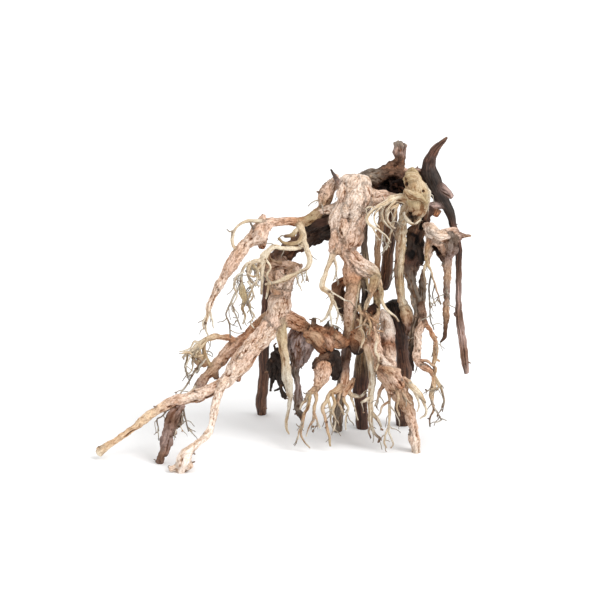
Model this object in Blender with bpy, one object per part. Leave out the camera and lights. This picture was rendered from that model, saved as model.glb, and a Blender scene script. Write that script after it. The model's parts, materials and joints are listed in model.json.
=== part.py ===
"""Aquarium driftwood: a hanging-root scape built up from separate pieces of wood.

Dark poles with sawn ends stand as legs and carry a beam and a horned crown. Flecked roots,
cream roots and finger roots are set over and between them. Every piece of wood is one object.

Routes are drawn on a sketch plane, the way the piece is looked at from the front and a little
above. Each point of a route is (across, up, back, thickness) in millimetres: across and up are
measured on the sketch plane, back is how far behind that plane's foot the point lies, and
thickness is the diameter as drawn. ON_FLOOR in place of back sets the point on the floor.
World axes: +X to the right, +Y away from the viewer, +Z up, floor at Z = 0.
"""

import math

import bmesh
import bpy
from mathutils import Matrix, Vector, noise

MM = 0.001
ON_FLOOR = None

# The sketch
LOOK_DOWN = math.radians(14)
EYE_DISTANCE = 2200 * MM
EYE_UP = 210 * MM
CENTRE = Vector((-19.5 * MM, -7 * MM, 0))  # middle of the whole object's footprint

# Fits and fine shape
GAP = 0.35 * MM  # clearance where one piece is notched round another
FOOT_LENGTH = 14 * MM  # how far a leg runs on below the floor before it is sawn level
FLOOR_BLOCK_SIZE = 2  # metres
WELD_DISTANCE = 0.01 * MM
KNOTTINESS = 0.3  # how far the thickness swells and shrinks along a limb
KNOT_SPACING = 17 * MM
RIB_COUNT = 3
TWIST_PER_POINT = math.radians(9)
SHARP_EDGE = math.radians(50)
# Least diameter, sides, rib depth
SECTIONS = {
    "trunk": (22 * MM, 10, 0.10),
    "branch": (13 * MM, 8, 0.06),
    "root": (7.5 * MM, 5, 0),
    "twig": (0, 4, 0),
}

# Wood: base colour, roughness
WOODS = {
    "dark": ((0.085, 0.045, 0.036, 1), 0.62),
    "charred": ((0.030, 0.026, 0.028, 1), 0.85),
    "bark": ((0.150, 0.095, 0.085, 1), 0.80),
    "flecked": ((0.520, 0.300, 0.205, 1), 0.78),
    "cream": ((0.600, 0.450, 0.270, 1), 0.70),
    "pale": ((0.560, 0.440, 0.330, 1), 0.74),
}

# Pieces stand in the order in which they keep their full form: a later one is notched round
# every earlier one that it meets.
PIECES = {
    "cream_knob": (
        "cream",
        [
            # knob
            [(167, 406, -4, 12), (168, 398, -6, 22), (171, 388, -8, 31), (175, 370, -8, 37),
             (176, 352, -7, 34), (171, 339, -5, 22)],
            # stem
            [(170, 360, -5, 24), (161, 342, -1, 20), (154, 327, 2, 16), (152, 312, 4, 14),
             (152, 285, 6, 14), (150, 258, 8, 14), (150, 232, 10, 13), (153, 212, 12, 14),
             (158, 195, 13, 16), (159, 180, 14, 13)],
            # rim down the right side
            [(184, 384, -10, 9), (191, 372, -12, 9), (191, 356, -14, 9), (186, 341, -14, 7),
             (180, 333, -12, 4)],
            # claws on the left
            [(168, 362, -8, 18), (154, 363, -11, 14), (140, 362, -16, 10), (129, 356, -22, 8),
             (117, 350, -28, 6.5), (106, 342, -33, 6), (100, 332, -36, 5), (106, 322, -38, 4.4),
             (118, 315, -38, 4), (129, 306, -37, 3.2), (136, 297, -36, 2.2)],
            [(132, 357, -20, 7), (123, 346, -26, 6), (123, 334, -28, 5), (129, 324, -28, 4),
             (136, 318, -26, 2.6)],
            [(142, 358, -18, 7), (132, 345, -24, 6), (130, 332, -24, 5), (136, 325, -22, 4),
             (142, 333, -20, 3)],
            [(147, 354, -14, 7), (142, 339, -18, 6), (140, 324, -20, 5), (136, 309, -20, 4),
             (132, 296, -20, 3), (129, 285, -20, 2.2)],
            [(109, 320, -38, 4), (114, 309, -37, 3.2), (120, 300, -36, 2.4)],
            [(125, 310, -37, 3), (128, 298, -34, 2.6), (134, 290, -32, 2.2)],
            [(112, 347, -30, 4), (104, 350, -32, 3), (98, 346, -33, 2.2)],
        ],
    ),
    "main_trunk": (
        "flecked",
        [
            # trunk, top to toe
            [(88, 390, 0, 34), (87, 378, -2, 47), (84, 363, -4, 48), (80, 345, -6, 45),
             (76, 326, -8, 42), (74, 306, -10, 40), (70, 290, -11, 36), (76, 270, -12, 26),
             (80, 249, -12, 27), (80, 226, -11, 24), (78, 202, -10, 21), (76, 180, -8, 18),
             (74, 160, -6, 14), (72, 150, -5, 9)],
            # knobbly top
            [(60, 382, -8, 12), (68, 389, -6, 18), (80, 390, -4, 19), (92, 382, -2, 20)],
            [(84, 352, -6, 44), (96, 366, -2, 26), (104, 376, 4, 15)],
            # spike at the top left
            [(75, 363, -14, 18), (63, 378, -15, 13), (54, 393, -14, 7), (46, 406, -12, 3)],
            # ridge along the beam
            [(68, 340, 0, 26), (50, 338, 6, 17), (34, 333, 6, 14), (12, 325, 6, 11)],
            # ridge to the cream knob
            [(99, 364, 0, 34), (114, 362, 4, 25), (130, 363, 3, 19), (146, 361, 0, 15),
             (158, 356, -2, 10)],
            # brown mass beside the toe
            [(97, 198, 0, 9), (95, 186, -4, 15), (91, 172, -8, 22), (88, 158, -9, 27),
             (86, 144, -7, 24), (84, 132, -4, 13)],
            # right branch
            [(81, 258, -14, 22), (96, 255, -18, 19), (110, 249, -22, 15), (118, 238, -25, 10),
             (122, 224, -26, 7), (123, 208, -27, 6), (130, 196, -28, 4.5), (140, 188, -29, 3.5),
             (148, 178, -30, 2.6)],
            # loop under the right branch
            [(116, 236, -24, 9), (108, 220, -27, 6), (100, 208, -28, 5), (99, 194, -27, 5),
             (101, 180, -22, 5.5), (101, 168, -16, 6)],
            # hanging root on the left, with its forks
            [(62, 296, -14, 16), (52, 284, -20, 12), (45, 268, -24, 9), (38, 249, -28, 7.5),
             (33, 230, -30, 7.5), (45, 220, -30, 7), (48, 208, -30, 6), (44, 194, -30, 5),
             (38, 183, -30, 3.5), (30, 177, -30, 2.4)],
            [(50, 277, -21, 6), (54, 262, -22, 4), (54, 249, -24, 3.2), (50, 238, -26, 2.4)],
            [(46, 216, -30, 4.5), (54, 201, -31, 4), (57, 188, -32, 3), (54, 174, -32, 2.2)],
            [(44, 196, -30, 3.6), (46, 183, -31, 2.8), (48, 171, -31, 2.2)],
            [(38, 228, -31, 4), (51, 220, -34, 3), (68, 210, -36, 2.4)],
        ],
    ),
    "left_arm": (
        "flecked",
        [
            # from behind the trunk's top, over and down to the far tip
            [(55, 397, 0, 6), (51, 387, 2, 11), (46, 374, 3, 13), (40, 360, 2, 14),
             (33, 347, 0, 15), (22, 337, -3, 16), (9, 330, -6, 17), (-3, 327, -9, 14),
             (-16, 328, -12, 12), (-32, 327, -16, 12), (-45, 326, -19, 15), (-57, 318, -22, 24),
             (-63, 306, -25, 25), (-77, 297, -29, 19), (-91, 281, -34, 17), (-103, 263, -38, 15.5),
             (-114, 245, -42, 14), (-124, 227, -46, 12.5), (-131, 213, -49, 11), (-136, 199, -51, 8),
             (-139, 186, -53, 5.4), (-142, 172, -54, 4), (-138, 156, -54, 2.6)],
            # strand beside the shoulder, bump above and knob below the elbow
            [(46, 388, 0, 5), (38, 380, -2, 9), (33, 368, -4, 10), (31, 354, -3, 8),
             (30, 342, -2, 6)],
            [(34, 366, -5, 8), (29, 371, -6, 4)],
            [(46, 376, 2, 10), (56, 382, -2, 9), (68, 378, -2, 9)],
            [(-57, 326, -22, 14), (-54, 337, -22, 8)],
            [(-57, 304, -22, 18), (-57, 289, -20, 9)],
            # forked tip
            [(-136, 196, -51, 4.5), (-132, 182, -52, 3.3), (-129, 168, -52, 2.2)],
            [(-140, 186, -53, 4), (-146, 176, -55, 3), (-144, 166, -56, 2.2)],
            # loop standing out above the elbow
            [(-54, 327, -24, 8), (-66, 329, -29, 6), (-79, 329, -33, 5.5), (-90, 324, -35, 5),
             (-98, 315, -37, 5), (-102, 303, -37, 5), (-101, 293, -37, 5), (-96, 284, -35, 5)],
            [(-75, 328, -32, 3), (-68, 314, -30, 2.4)],
            [(-97, 316, -37, 3), (-105, 312, -38, 2)],
            # long loop on the right
            [(-1, 324, -12, 12), (4, 311, -18, 10), (7, 297, -23, 8.5), (12, 283, -27, 8),
             (15, 269, -29, 8), (10, 258, -30, 7.5), (-4, 251, -31, 6.5), (-19, 243, -31, 6.5),
             (-35, 237, -30, 6), (-52, 233, -29, 4)],
            # inner loop and its hanging end
            [(6, 300, -20, 9), (1, 289, -26, 7), (-12, 287, -31, 6.5), (-26, 288, -34, 6.5),
             (-38, 290, -35, 7), (-47, 284, -35, 8), (-54, 275, -34, 12), (-56, 263, -33, 10),
             (-57, 249, -33, 6), (-57, 234, -33, 4.5), (-58, 219, -33, 3)],
            # ring and hook inside the loop
            [(2, 318, -15, 7), (3, 305, -22, 7), (-3, 297, -27, 6), (-15, 294, -30, 6),
             (-26, 297, -32, 5), (-32, 303, -32, 4)],
            [(-3, 318, -15, 8), (-8, 311, -20, 7.5), (-13, 306, -24, 7), (-23, 305, -27, 6.5)],
            # strands laid back over the root stock
            [(-50, 282, -32, 7), (-46, 272, -20, 7), (-38, 268, -8, 6), (-28, 266, 0, 5)],
            [(-56, 268, -33, 8), (-62, 262, -24, 7), (-56, 252, -12, 6), (-44, 246, 0, 5)],
            # strands hanging below the loops
            [(-57, 270, -34, 9), (-72, 266, -37, 7), (-78, 255, -39, 6), (-76, 243, -39, 5),
             (-69, 234, -38, 4), (-60, 231, -37, 3)],
            [(-64, 267, -36, 6), (-79, 264, -40, 5), (-87, 252, -42, 5), (-88, 236, -43, 6),
             (-86, 222, -43, 11), (-83, 210, -43, 9), (-86, 198, -43, 5), (-82, 184, -43, 3.6),
             (-86, 174, -43, 2.6)],
            [(-88, 234, -43, 4), (-96, 222, -45, 3.6), (-104, 206, -47, 3.3), (-111, 189, -49, 3),
             (-106, 174, -49, 2.6), (-104, 154, -48, 2.2)],
            [(-103, 208, -47, 3), (-98, 190, -46, 2.6), (-92, 176, -46, 2.4), (-88, 166, -46, 2)],
            [(-83, 212, -43, 5), (-75, 196, -42, 4), (-69, 186, -41, 3.3), (-74, 176, -41, 2.6),
             (-69, 168, -41, 2)],
            [(-57, 247, -34, 4), (-66, 237, -36, 3.2), (-72, 225, -37, 2.4)],
            [(-48, 235, -30, 4), (-48, 224, -30, 3), (-51, 212, -30, 2.2)],
            [(-76, 248, -39, 4), (-70, 258, -36, 4), (-62, 248, -35, 4), (-66, 234, -37, 3.3)],
            [(11, 263, -30, 4), (9, 252, -29, 3), (10, 240, -29, 2.2)],
            [(-6, 252, -31, 4), (-3, 236, -31, 3), (3, 224, -31, 2.2)],
            [(0, 256, -31, 3.3), (4, 244, -31, 2.6), (2, 236, -31, 2)],
        ],
    ),
    "left_root": (
        "flecked",
        [
            # root stock, from the beam down
            [(-26, 275, 58, 16), (-27, 262, 36, 19), (-28, 252, 16, 29), (-28, 238, 8, 31),
             (-28, 224, 4, 27), (-30, 208, 0, 33), (-34, 190, -4, 37), (-38, 174, -8, 37)],
            [(-50, 251, 14, 18), (-28, 253, 13, 27), (-8, 253, 12, 20)],
            # long limb to the far left
            [(-40, 177, -8, 30), (-57, 154, -18, 30), (-74, 135, -27, 30), (-88, 117, -36, 30),
             (-102, 100, -44, 27), (-116, 86, -52, 22), (-134, 74, -58, 19), (-152, 67, -63, 19),
             (-168, 62, -67, 17), (-184, 59, -70, 16), (-200, 52, -73, 14), (-216, 43, -76, 13),
             (-231, 33, -78, 12), (-246, 21, -80, 11), (-261, 10, -81, 10), (-275, 0, -82, 10),
             (-289, -9, -83, 11), (-301, -20, -84, 13)],
            [(-292, -10, -83, 9), (-304, -13, -84, 5)],
            [(-96, 104, -44, 16), (-92, 89, -44, 9)],
            # foot with a knob
            [(-111, 90, -56, 15), (-120, 74, -66, 12), (-126, 57, -76, 13), (-129, 39, -86, 12),
             (-132, 24, -96, 11), (-138, 10, -106, 11), (-150, -2, -116, 11), (-162, -12, -124, 13),
             (-171, -24, -130, 19), (-176, -36, -134, 24), (-180, -46, ON_FLOOR, 18)],
            [(-176, -34, -134, 16), (-186, -40, -136, 11), (-195, -43, -137, 8)],
            [(-172, -32, -132, 16), (-166, -41, -136, 13)],
            # root hanging straight down
            [(-30, 180, -12, 24), (-27, 162, -16, 15), (-26, 142, -18, 13), (-22, 120, -18, 13),
             (-20, 98, -18, 13), (-16, 78, -18, 11), (-15, 62, -18, 8), (-18, 44, -18, 6),
             (-21, 28, -18, 4.5), (-20, 16, -18, 3.6), (-16, 9, -18, 2.6)],
            # shoulder towards the middle
            [(-24, 183, -4, 27), (-8, 178, -2, 26), (6, 171, 2, 20), (16, 164, 4, 14)],
            # twigs under the limb
            [(-176, 54, -70, 3.4), (-171, 28, -80, 2.5), (-167, 13, -84, 2.2)],
            [(-196, 50, -74, 3.4), (-206, 36, -78, 2.5), (-214, 31, -80, 2.2), (-212, 15, -84, 2)],
        ],
    ),
    "left_back_root": (
        "flecked",
        [
            [(-48, 186, 14, 15), (-63, 171, 8, 18), (-80, 156, 0, 19), (-94, 144, -8, 19),
             (-108, 132, -16, 19), (-120, 118, -22, 19), (-130, 106, -28, 18), (-142, 94, -36, 16),
             (-150, 82, -44, 15), (-156, 70, -54, 10)],
            [(-129, 104, -27, 14), (-126, 93, -26, 9)],
            # arch and its fan
            [(-93, 144, -8, 12), (-105, 152, -14, 10), (-118, 155, -20, 8.5), (-132, 154, -26, 9),
             (-144, 149, -32, 9), (-154, 141, -38, 8), (-165, 132, -43, 6.5), (-177, 124, -47, 4)],
            [(-143, 148, -32, 7), (-144, 132, -32, 7), (-139, 118, -30, 8), (-133, 109, -28, 8)],
            [(-154, 141, -38, 8), (-152, 126, -36, 9), (-142, 113, -31, 9)],
            [(-158, 137, -40, 6), (-161, 123, -42, 6), (-151, 112, -38, 6)],
            # claws
            [(-150, 146, -36, 5), (-159, 148, -40, 3.6), (-164, 138, -44, 3), (-172, 134, -48, 2.7),
             (-180, 132, -50, 2.2)],
            [(-168, 127, -44, 4.5), (-171, 112, -47, 3.3), (-170, 96, -48, 2.3)],
            [(-162, 130, -42, 4.5), (-160, 114, -46, 3.4), (-164, 102, -48, 2.4)],
            [(-147, 119, -35, 5.4), (-154, 108, -42, 4.5), (-162, 96, -48, 3.6), (-170, 82, -54, 3),
             (-178, 72, -58, 2.4), (-183, 64, -62, 2)],
            [(-151, 84, -46, 4.5), (-162, 75, -56, 3), (-168, 69, -60, 2.2)],
        ],
    ),
    "dark_foot": (
        "bark",
        [
            [(-176, 52, -72, 11), (-183, 44, -76, 15), (-190, 31, -82, 17), (-196, 15, -88, 18),
             (-200, -1, -95, 18), (-202, -14, -98, 16), (-208, -26, -101, 13),
             (-210, -34, ON_FLOOR, 12)],
            [(-179, 48, -75, 7), (-178, 34, -80, 6), (-181, 24, -84, 7.5), (-186, 18, -86, 5)],
        ],
    ),
    "front_root": (
        "flecked",
        [
            # from the trunk's toe to the standing foot
            [(99, 200, -12, 13), (103, 184, -15, 21), (107, 164, -18, 26), (108, 143, -21, 27),
             (113, 122, -25, 26), (122, 107, -29, 26), (134, 96, -33, 27), (145, 83, -36, 28),
             (152, 69, -39, 25), (159, 54, -42, 20), (165, 36, -45, 16), (170, 18, -48, 14),
             (172, 0, -51, 13), (174, -18, ON_FLOOR, 15)],
            # link under the trunk's toe
            [(78, 162, -8, 16), (90, 156, -14, 24), (104, 150, -18, 28)],
            # strands above it
            [(89, 205, -12, 4), (93, 191, -14, 8), (98, 176, -16, 12), (103, 161, -18, 16)],
            [(111, 229, -20, 5), (114, 214, -20, 8), (114, 199, -20, 12), (110, 182, -19, 18),
             (108, 165, -18, 22)],
            [(116, 116, -28, 14), (126, 101, -36, 22), (134, 86, -41, 20), (139, 71, -43, 11)],
            # cream root to the right and its claws
            [(147, 92, -38, 14), (158, 88, -42, 11), (166, 81, -45, 10), (176, 72, -48, 9),
             (183, 62, -50, 7.5), (188, 56, -51, 4.5)],
            [(170, 77, -46, 5), (176, 63, -51, 4), (178, 51, -53, 3.3), (176, 42, -55, 2.2)],
            [(184, 59, -51, 4.5), (189, 48, -52, 3.6), (188, 38, -53, 3), (180, 32, -54, 2.2)],
            # fingers
            [(132, 80, -39, 8), (134, 63, -44, 5.4), (134, 45, -48, 4.5), (134, 28, -52, 4),
             (130, 12, -55, 3.3), (126, -2, -58, 2.7), (129, -12, -60, 2)],
            [(132, 22, -54, 3), (135, 6, -56, 2.9), (140, -6, -58, 2.4), (136, -12, -59, 2)],
            [(133, 58, -46, 4), (123, 50, -48, 3.3), (120, 40, -50, 2.7), (114, 32, -52, 2.1)],
            [(134, 53, -47, 3.6), (142, 42, -49, 2.7), (147, 33, -51, 2.1)],
            [(127, 86, -37, 8), (120, 72, -42, 5.7), (117, 62, -44, 4.5), (112, 51, -46, 2.7)],
            [(168, 16, -49, 6), (163, 8, -54, 3.5)],
        ],
    ),
    "pale_root": (
        "pale",
        [
            [(100, 144, -26, 12), (104, 126, -32, 13), (108, 105, -36, 11), (108, 84, -38, 10.5),
             (106, 63, -40, 10), (106, 44, -41, 8), (106, 27, -42, 7.5), (110, 14, -43, 6.6),
             (116, 6, -44, 5.4), (120, 2, -45, 4.5), (117, -4, -46, 2.8)],
            [(108, 40, -42, 6), (117, 30, -44, 5.4), (122, 20, -46, 3.6)],
            [(107, 22, -43, 4.5), (103, 13, -46, 3), (106, 3, -47, 2.4)],
            [(106, 65, -41, 6), (98, 60, -44, 4.8), (92, 56, -45, 3)],
        ],
    ),
    "low_bridge": (
        "flecked",
        [
            [(12, 160, -6, 15), (21, 155, -8, 29), (35, 153, -9, 36), (50, 148, -8, 27),
             (64, 146, -6, 19), (78, 152, -4, 14)],
            [(24, 160, -10, 14), (20, 174, -11, 8), (20, 182, -11, 3)],
            [(37, 160, -10, 14), (41, 172, -11, 7), (42, 178, -11, 3)],
            [(50, 154, -6, 12), (55, 164, -7, 6), (57, 169, -7, 3)],
            # drooping nub
            [(40, 144, -6, 16), (38, 128, -8, 14), (33, 115, -14, 23), (33, 100, -19, 24),
             (30, 86, -24, 17), (25, 76, -27, 9)],
            # fingers
            [(22, 77, -28, 8), (14, 70, -32, 7), (9, 60, -36, 6), (3, 54, -39, 4.5),
             (0, 46, -40, 2.6)],
            [(14, 68, -33, 6.5), (12, 51, -38, 6.3), (6, 36, -42, 6), (3, 20, -46, 5.4),
             (2, 6, -49, 4), (9, -5, -53, 3), (15, -12, -56, 2.2)],
            [(22, 77, -27, 7.5), (24, 60, -31, 6.3), (21, 44, -36, 5.4), (20, 30, -40, 4.5),
             (14, 20, -44, 3.6), (9, 5, -48, 2.2)],
            [(21, 41, -38, 4), (26, 28, -41, 3), (30, 18, -44, 2.2)],
            [(4, 24, -46, 3.6), (-2, 12, -50, 2.7), (-3, 1, -52, 2.2)],
        ],
    ),
    "front_fingers": (
        "cream",
        [
            [(73, 138, 2, 10), (70, 117, -4, 11), (68, 99, -12, 13), (66, 82, -20, 13),
             (62, 76, -23, 10)],
            [(64, 81, -20, 12), (54, 74, -26, 10), (45, 68, -31, 7.5), (39, 57, -35, 6.3),
             (34, 46, -38, 5.7), (38, 33, -41, 5), (40, 20, -44, 4.8), (44, 4, -47, 4.2),
             (45, -9, -50, 2.6)],
            [(42, 62, -34, 4.5), (46, 46, -36, 3.6), (46, 30, -38, 3), (50, 15, -40, 2.2)],
            [(68, 80, -21, 9), (75, 70, -26, 7), (82, 66, -29, 5.4), (92, 66, -31, 4.5),
             (99, 74, -31, 3)],
            [(69, 76, -24, 6), (66, 60, -30, 5), (72, 48, -33, 4), (69, 33, -35, 3),
             (69, 15, -38, 2.2)],
            [(76, 68, -28, 4), (82, 48, -33, 3), (87, 30, -36, 2.2)],
            [(61, 75, -25, 6), (57, 58, -30, 5), (62, 48, -34, 3.8), (66, 38, -35, 2.4)],
        ],
    ),
    "pink_post": (
        "flecked",
        [
            [(123, 194, 18, 9), (129, 180, 18, 19), (131, 162, 15, 24), (132, 142, 5, 24),
             (134, 122, -8, 22), (136, 106, -16, 16)],
        ],
    ),
    "knee": (
        "flecked",
        [
            [(188, 322, 4, 16), (197, 312, -2, 25), (206, 301, -6, 29), (217, 302, -5, 25),
             (228, 306, -2, 22), (238, 306, 2, 18), (246, 307, 2, 9), (256, 306, 2, 3)],
            # funnel into the thin pole
            [(219, 302, -6, 29), (221, 286, -7, 27), (221, 272, -8, 19), (221, 260, -8, 13),
             (221, 246, -8, 10.5), (220, 218, -8, 9), (219, 188, -8, 8.5), (218, 165, -8, 7),
             (216, 153, -8, 5), (211, 147, -8, 2.8)],
            [(202, 294, -7, 16), (209, 280, -9, 10), (218, 266, -9, 7)],
            [(214, 302, -14, 12), (216, 288, -14, 8), (220, 272, -11, 5)],
            [(197, 302, -6, 20), (194, 289, -9, 16), (191, 276, -13, 10), (193, 264, -17, 5)],
            # rootlets
            [(195, 300, -12, 10), (190, 282, -18, 7), (190, 267, -20, 5), (196, 255, -21, 4.2),
             (201, 237, -22, 3.6), (206, 220, -22, 3), (212, 204, -22, 2.2)],
            [(197, 250, -21, 3.6), (194, 231, -21, 3.3), (194, 214, -21, 3), (195, 198, -21, 2.7),
             (196, 180, -21, 2.4), (201, 165, -21, 2)],
            [(190, 269, -20, 4), (186, 252, -20, 3.3), (188, 236, -20, 2.7), (187, 222, -20, 2.2)],
            [(202, 233, -22, 3), (199, 216, -23, 2.5), (204, 201, -24, 2)],
        ],
    ),
    "right_root": (
        "flecked",
        [
            [(181, 206, 0, 9), (184, 190, -4, 10), (182, 174, -6, 11), (177, 158, -8, 12),
             (176, 141, -10, 13), (174, 126, -12, 13), (178, 116, -14, 11), (189, 108, -16, 10),
             (198, 102, -18, 9), (201, 88, -20, 8), (198, 72, -22, 7), (198, 58, -24, 4.5),
             (201, 46, -26, 3.6), (195, 33, -28, 3), (195, 20, -29, 2.2)],
            [(199, 101, -18, 6), (207, 87, -20, 5), (213, 74, -22, 4.2), (216, 60, -24, 3.3),
             (214, 42, -26, 2.2)],
            [(177, 120, -13, 6), (190, 118, -18, 5.4), (201, 110, -21, 5), (202, 98, -19, 5)],
            [(201, 48, -26, 3), (207, 40, -28, 2.6), (212, 30, -30, 2)],
            [(202, 90, -20, 4), (208, 80, -23, 3.3), (199, 74, -23, 3.3)],
            # loop
            [(183, 187, -6, 9), (190, 173, -8, 7.5), (198, 160, -10, 7.5), (203, 144, -12, 7.5),
             (203, 128, -14, 8), (200, 112, -19, 6.6)],
            [(202, 122, -15, 4.5), (210, 118, -16, 2.8)],
            [(198, 158, -10, 4.5), (206, 154, -11, 2.6)],
        ],
    ),
    "horned_pole": (
        "dark",
        [
            # horn, neck and long hanging pole
            [(221, 454, 30, 3), (213, 446, 30, 9), (203, 436, 29, 14), (197, 423, 28, 18),
             (193, 408, 27, 25), (197, 390, 26, 30), (205, 372, 24, 24), (215, 358, 24, 17),
             (225, 341, 22, 13), (229, 324, 19, 11), (234, 308, 15, 11), (238, 285, 15, 11),
             (238, 248, 18, 11), (238, 213, 20, 11), (238, 189, 21, 12), (242, 162, 22, 11),
             (245, 135, 23, 11), (248, 114, 24, 10.5), (250, 100, 24, 7)],
            # broken stub, root across and knob
            [(206, 381, 22, 18), (218, 374, 20, 12), (226, 366, 18, 8.5), (229, 363, 17, 7)],
            [(212, 352, 22, 10), (200, 352, 18, 9), (190, 347, 14, 11)],
            [(206, 346, 18, 13), (202, 336, 15, 10)],
            [(237, 190, 21, 9), (230, 188, 20, 5)],
        ],
    ),
    "right_trunk": (
        "dark",
        [
            [(192, 348, 12, 14), (188, 336, 10, 20), (178, 318, 8, 26), (174, 298, 8, 28),
             (170, 279, 9, 26), (166, 261, 9, 20), (166, 244, 8, 16), (171, 226, 6, 15),
             (176, 208, 5, 15), (177, 190, 4, 13), (172, 171, 3, 12), (169, 152, 2, 11),
             (167, 134, 2, 10), (168, 117, 2, 7), (170, 104, 2, 3)],
            [(178, 293, 2, 12), (182, 276, -2, 10), (182, 264, -2, 5)],
            [(184, 255, 4, 4), (183, 243, 4, 8), (184, 228, 4, 9), (184, 212, 4, 9),
             (181, 197, 3, 10), (175, 184, 3, 10)],
        ],
    ),
    "crown": (
        "dark",
        [
            [(66, 391, 14, 10), (87, 393, 20, 13), (102, 395, 26, 20), (120, 393, 30, 33),
             (140, 391, 30, 42), (160, 386, 30, 38), (178, 384, 28, 30)],
            # lower edge, behind the ridge to the cream knob
            [(112, 386, 28, 18), (128, 382, 24, 26), (144, 378, 20, 28), (160, 374, 16, 22)],
            # cone under the stub
            [(120, 398, 29, 18), (132, 403, 31, 26), (143, 408, 32, 28), (150, 412, 32, 22)],
            # strip to the horn
            [(146, 402, 28, 18), (158, 402, 27, 14), (168, 403, 26, 12), (180, 403, 27, 11),
             (190, 398, 28, 10)],
            # lump behind the cream knob
            [(158, 384, 28, 28), (166, 372, 10, 20)],
            # sawn stub
            [(142, 396, 32, 40), (146, 409, 32, 28), (149, 419, 32, 16), (150, 425, 32, 14),
             (150, 437, 32, 18), (149, 447, 32, 17)],
        ],
    ),
    "beam": (
        "dark",
        [
            [(88, 353, 20, 26), (52, 322, 32, 27), (27, 309, 40, 26), (0, 296, 50, 24),
             (-26, 280, 60, 21), (-54, 266, 74, 18)],
        ],
    ),
    "bark_plate": (
        "bark",
        [
            [(4, 170, 14, 17), (-1, 155, 14, 33), (-3, 138, 14, 34), (-3, 122, 12, 28),
             (-8, 104, 10, 14), (-4, 87, 8, 10), (-3, 75, 6, 10), (-3, 62, 4, 14),
             (-3, 48, 2, 13), (0, 38, 2, 9), (4, 30, 2, 5)],
            [(12, 157, 9, 12), (20, 171, 4, 8), (23, 183, 2, 3)],
            [(-4, 153, 12, 18), (-13, 142, 8, 10), (-14, 126, 6, 6)],
        ],
    ),
    "dark_knuckle": (
        "charred",
        [
            [(44, 136, -14, 10), (48, 128, -14, 18), (52, 117, -12, 20), (54, 104, -10, 17),
             (52, 92, -8, 9)],
            [(44, 128, -16, 13), (34, 124, -22, 8), (24, 119, -24, 7), (19, 108, -24, 5)],
        ],
    ),
    "charred_scrap": (
        "charred",
        [
            [(-26, 136, -10, 9), (-36, 130, 4, 12), (-38, 117, 10, 14), (-38, 102, 12, 10),
             (-42, 88, 14, 7), (-44, 74, 14, 3.5)],
            [(-35, 110, 10, 10), (-32, 92, 10, 8), (-28, 78, 8, 6), (-24, 68, 6, 8),
             (-22, 61, 6, 4)],
            [(-29, 78, 8, 4), (-38, 74, 6, 3)],
            [(-36, 128, 6, 6), (-39, 142, 8, 4)],
        ],
    ),
    "front_leg": (
        "bark",
        [
            [(75, 180, 4, 13), (70, 153, 6, 15), (68, 128, 10, 15), (64, 98, 17, 14),
             (62, 72, 23, 14), (58, 45, 29, 13.5), (56, 14, ON_FLOOR, 13)],
        ],
    ),
    "middle_leg": (
        "dark",
        [
            [(106, 390, 30, 14), (97, 350, 33, 11), (96, 300, 36, 10), (98, 262, 38, 11),
             (98, 218, 40, 12), (94, 172, 42, 15), (92, 132, 44, 20), (92, 98, 46, 24),
             (90, 72, 48, 22), (92, 48, 50, 19), (94, 18, ON_FLOOR, 16.5)],
        ],
    ),
    "right_leg": (
        "dark",
        [
            [(136, 207, 22, 20), (142, 192, 23, 24), (150, 168, 27, 24), (154, 135, 37, 22),
             (156, 105, 47, 21), (154, 75, 54, 20), (153, 50, 60, 20), (154, 23, ON_FLOOR, 21)],
        ],
    ),
    "rear_left_leg": (
        "dark",
        [
            [(-46, 276, 74, 14), (-50, 210, 86, 15), (-54, 142, 98, 16), (-54, 98, 106, 16),
             (-58, 57, 114, 16), (-57, 39, ON_FLOOR, 15)],
            [(-58, 57, 114, 12), (-65, 59, 114, 7)],
        ],
    ),
    "hanging_pole": (
        "dark",
        [
            [(136, 382, 42, 18), (136, 338, 48, 20), (134, 308, 52, 21), (132, 282, 54, 18),
             (130, 255, 54, 17), (128, 236, 54, 16), (127, 225, 54, 9)],
        ],
    ),
    "thin_pole": (
        "pale",
        [
            [(128, 384, 31, 13), (123, 335, 32, 10), (117, 300, 34, 10), (116, 273, 34, 9),
             (116, 248, 32, 9), (118, 222, 30, 8), (120, 204, 28, 5)],
        ],
    ),
    "back_shard": (
        "bark",
        [
            [(78, 238, 4, 14), (66, 238, 2, 15), (58, 228, 2, 18), (62, 213, 3, 15),
             (64, 194, 4, 11), (68, 174, 3, 5)],
        ],
    ),
}


def on_sketch(across, up):
    """The world point of a place on the sketch plane."""
    return Vector((across, up * math.sin(LOOK_DOWN), up * math.cos(LOOK_DOWN)))


EYE = on_sketch(0, EYE_UP) + EYE_DISTANCE * Vector((0, -math.cos(LOOK_DOWN), math.sin(LOOK_DOWN)))


def world_point(across, up, back, thickness):
    """The route point in the world and the limb's radius there."""
    drawn = on_sketch(across * MM, up * MM)
    if back is ON_FLOOR:
        reach = EYE.z / (EYE.z - drawn.z)
    else:
        reach = (back * MM - EYE.y) / (drawn.y - EYE.y)
    return EYE + reach * (drawn - EYE) - CENTRE, thickness * MM / 2 * reach


def section_curve(sides, rib_depth):
    """The outline that a limb is swept from: round, with shallow ribs."""
    curve = bpy.data.curves.new(f"section_{sides}", "CURVE")
    spline = curve.splines.new("POLY")
    spline.points.add(sides - 1)
    spline.use_cyclic_u = True
    for i, point in enumerate(spline.points):
        angle = math.tau * i / sides
        radius = 1 + rib_depth * math.cos(RIB_COUNT * angle)
        point.co = (radius * math.cos(angle), radius * math.sin(angle), 0, 1)
    section = bpy.data.objects.new(f"section_{sides}", curve)
    helpers.objects.link(section)
    section.hide_render = True
    section.display_type = "WIRE"
    return section


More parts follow.
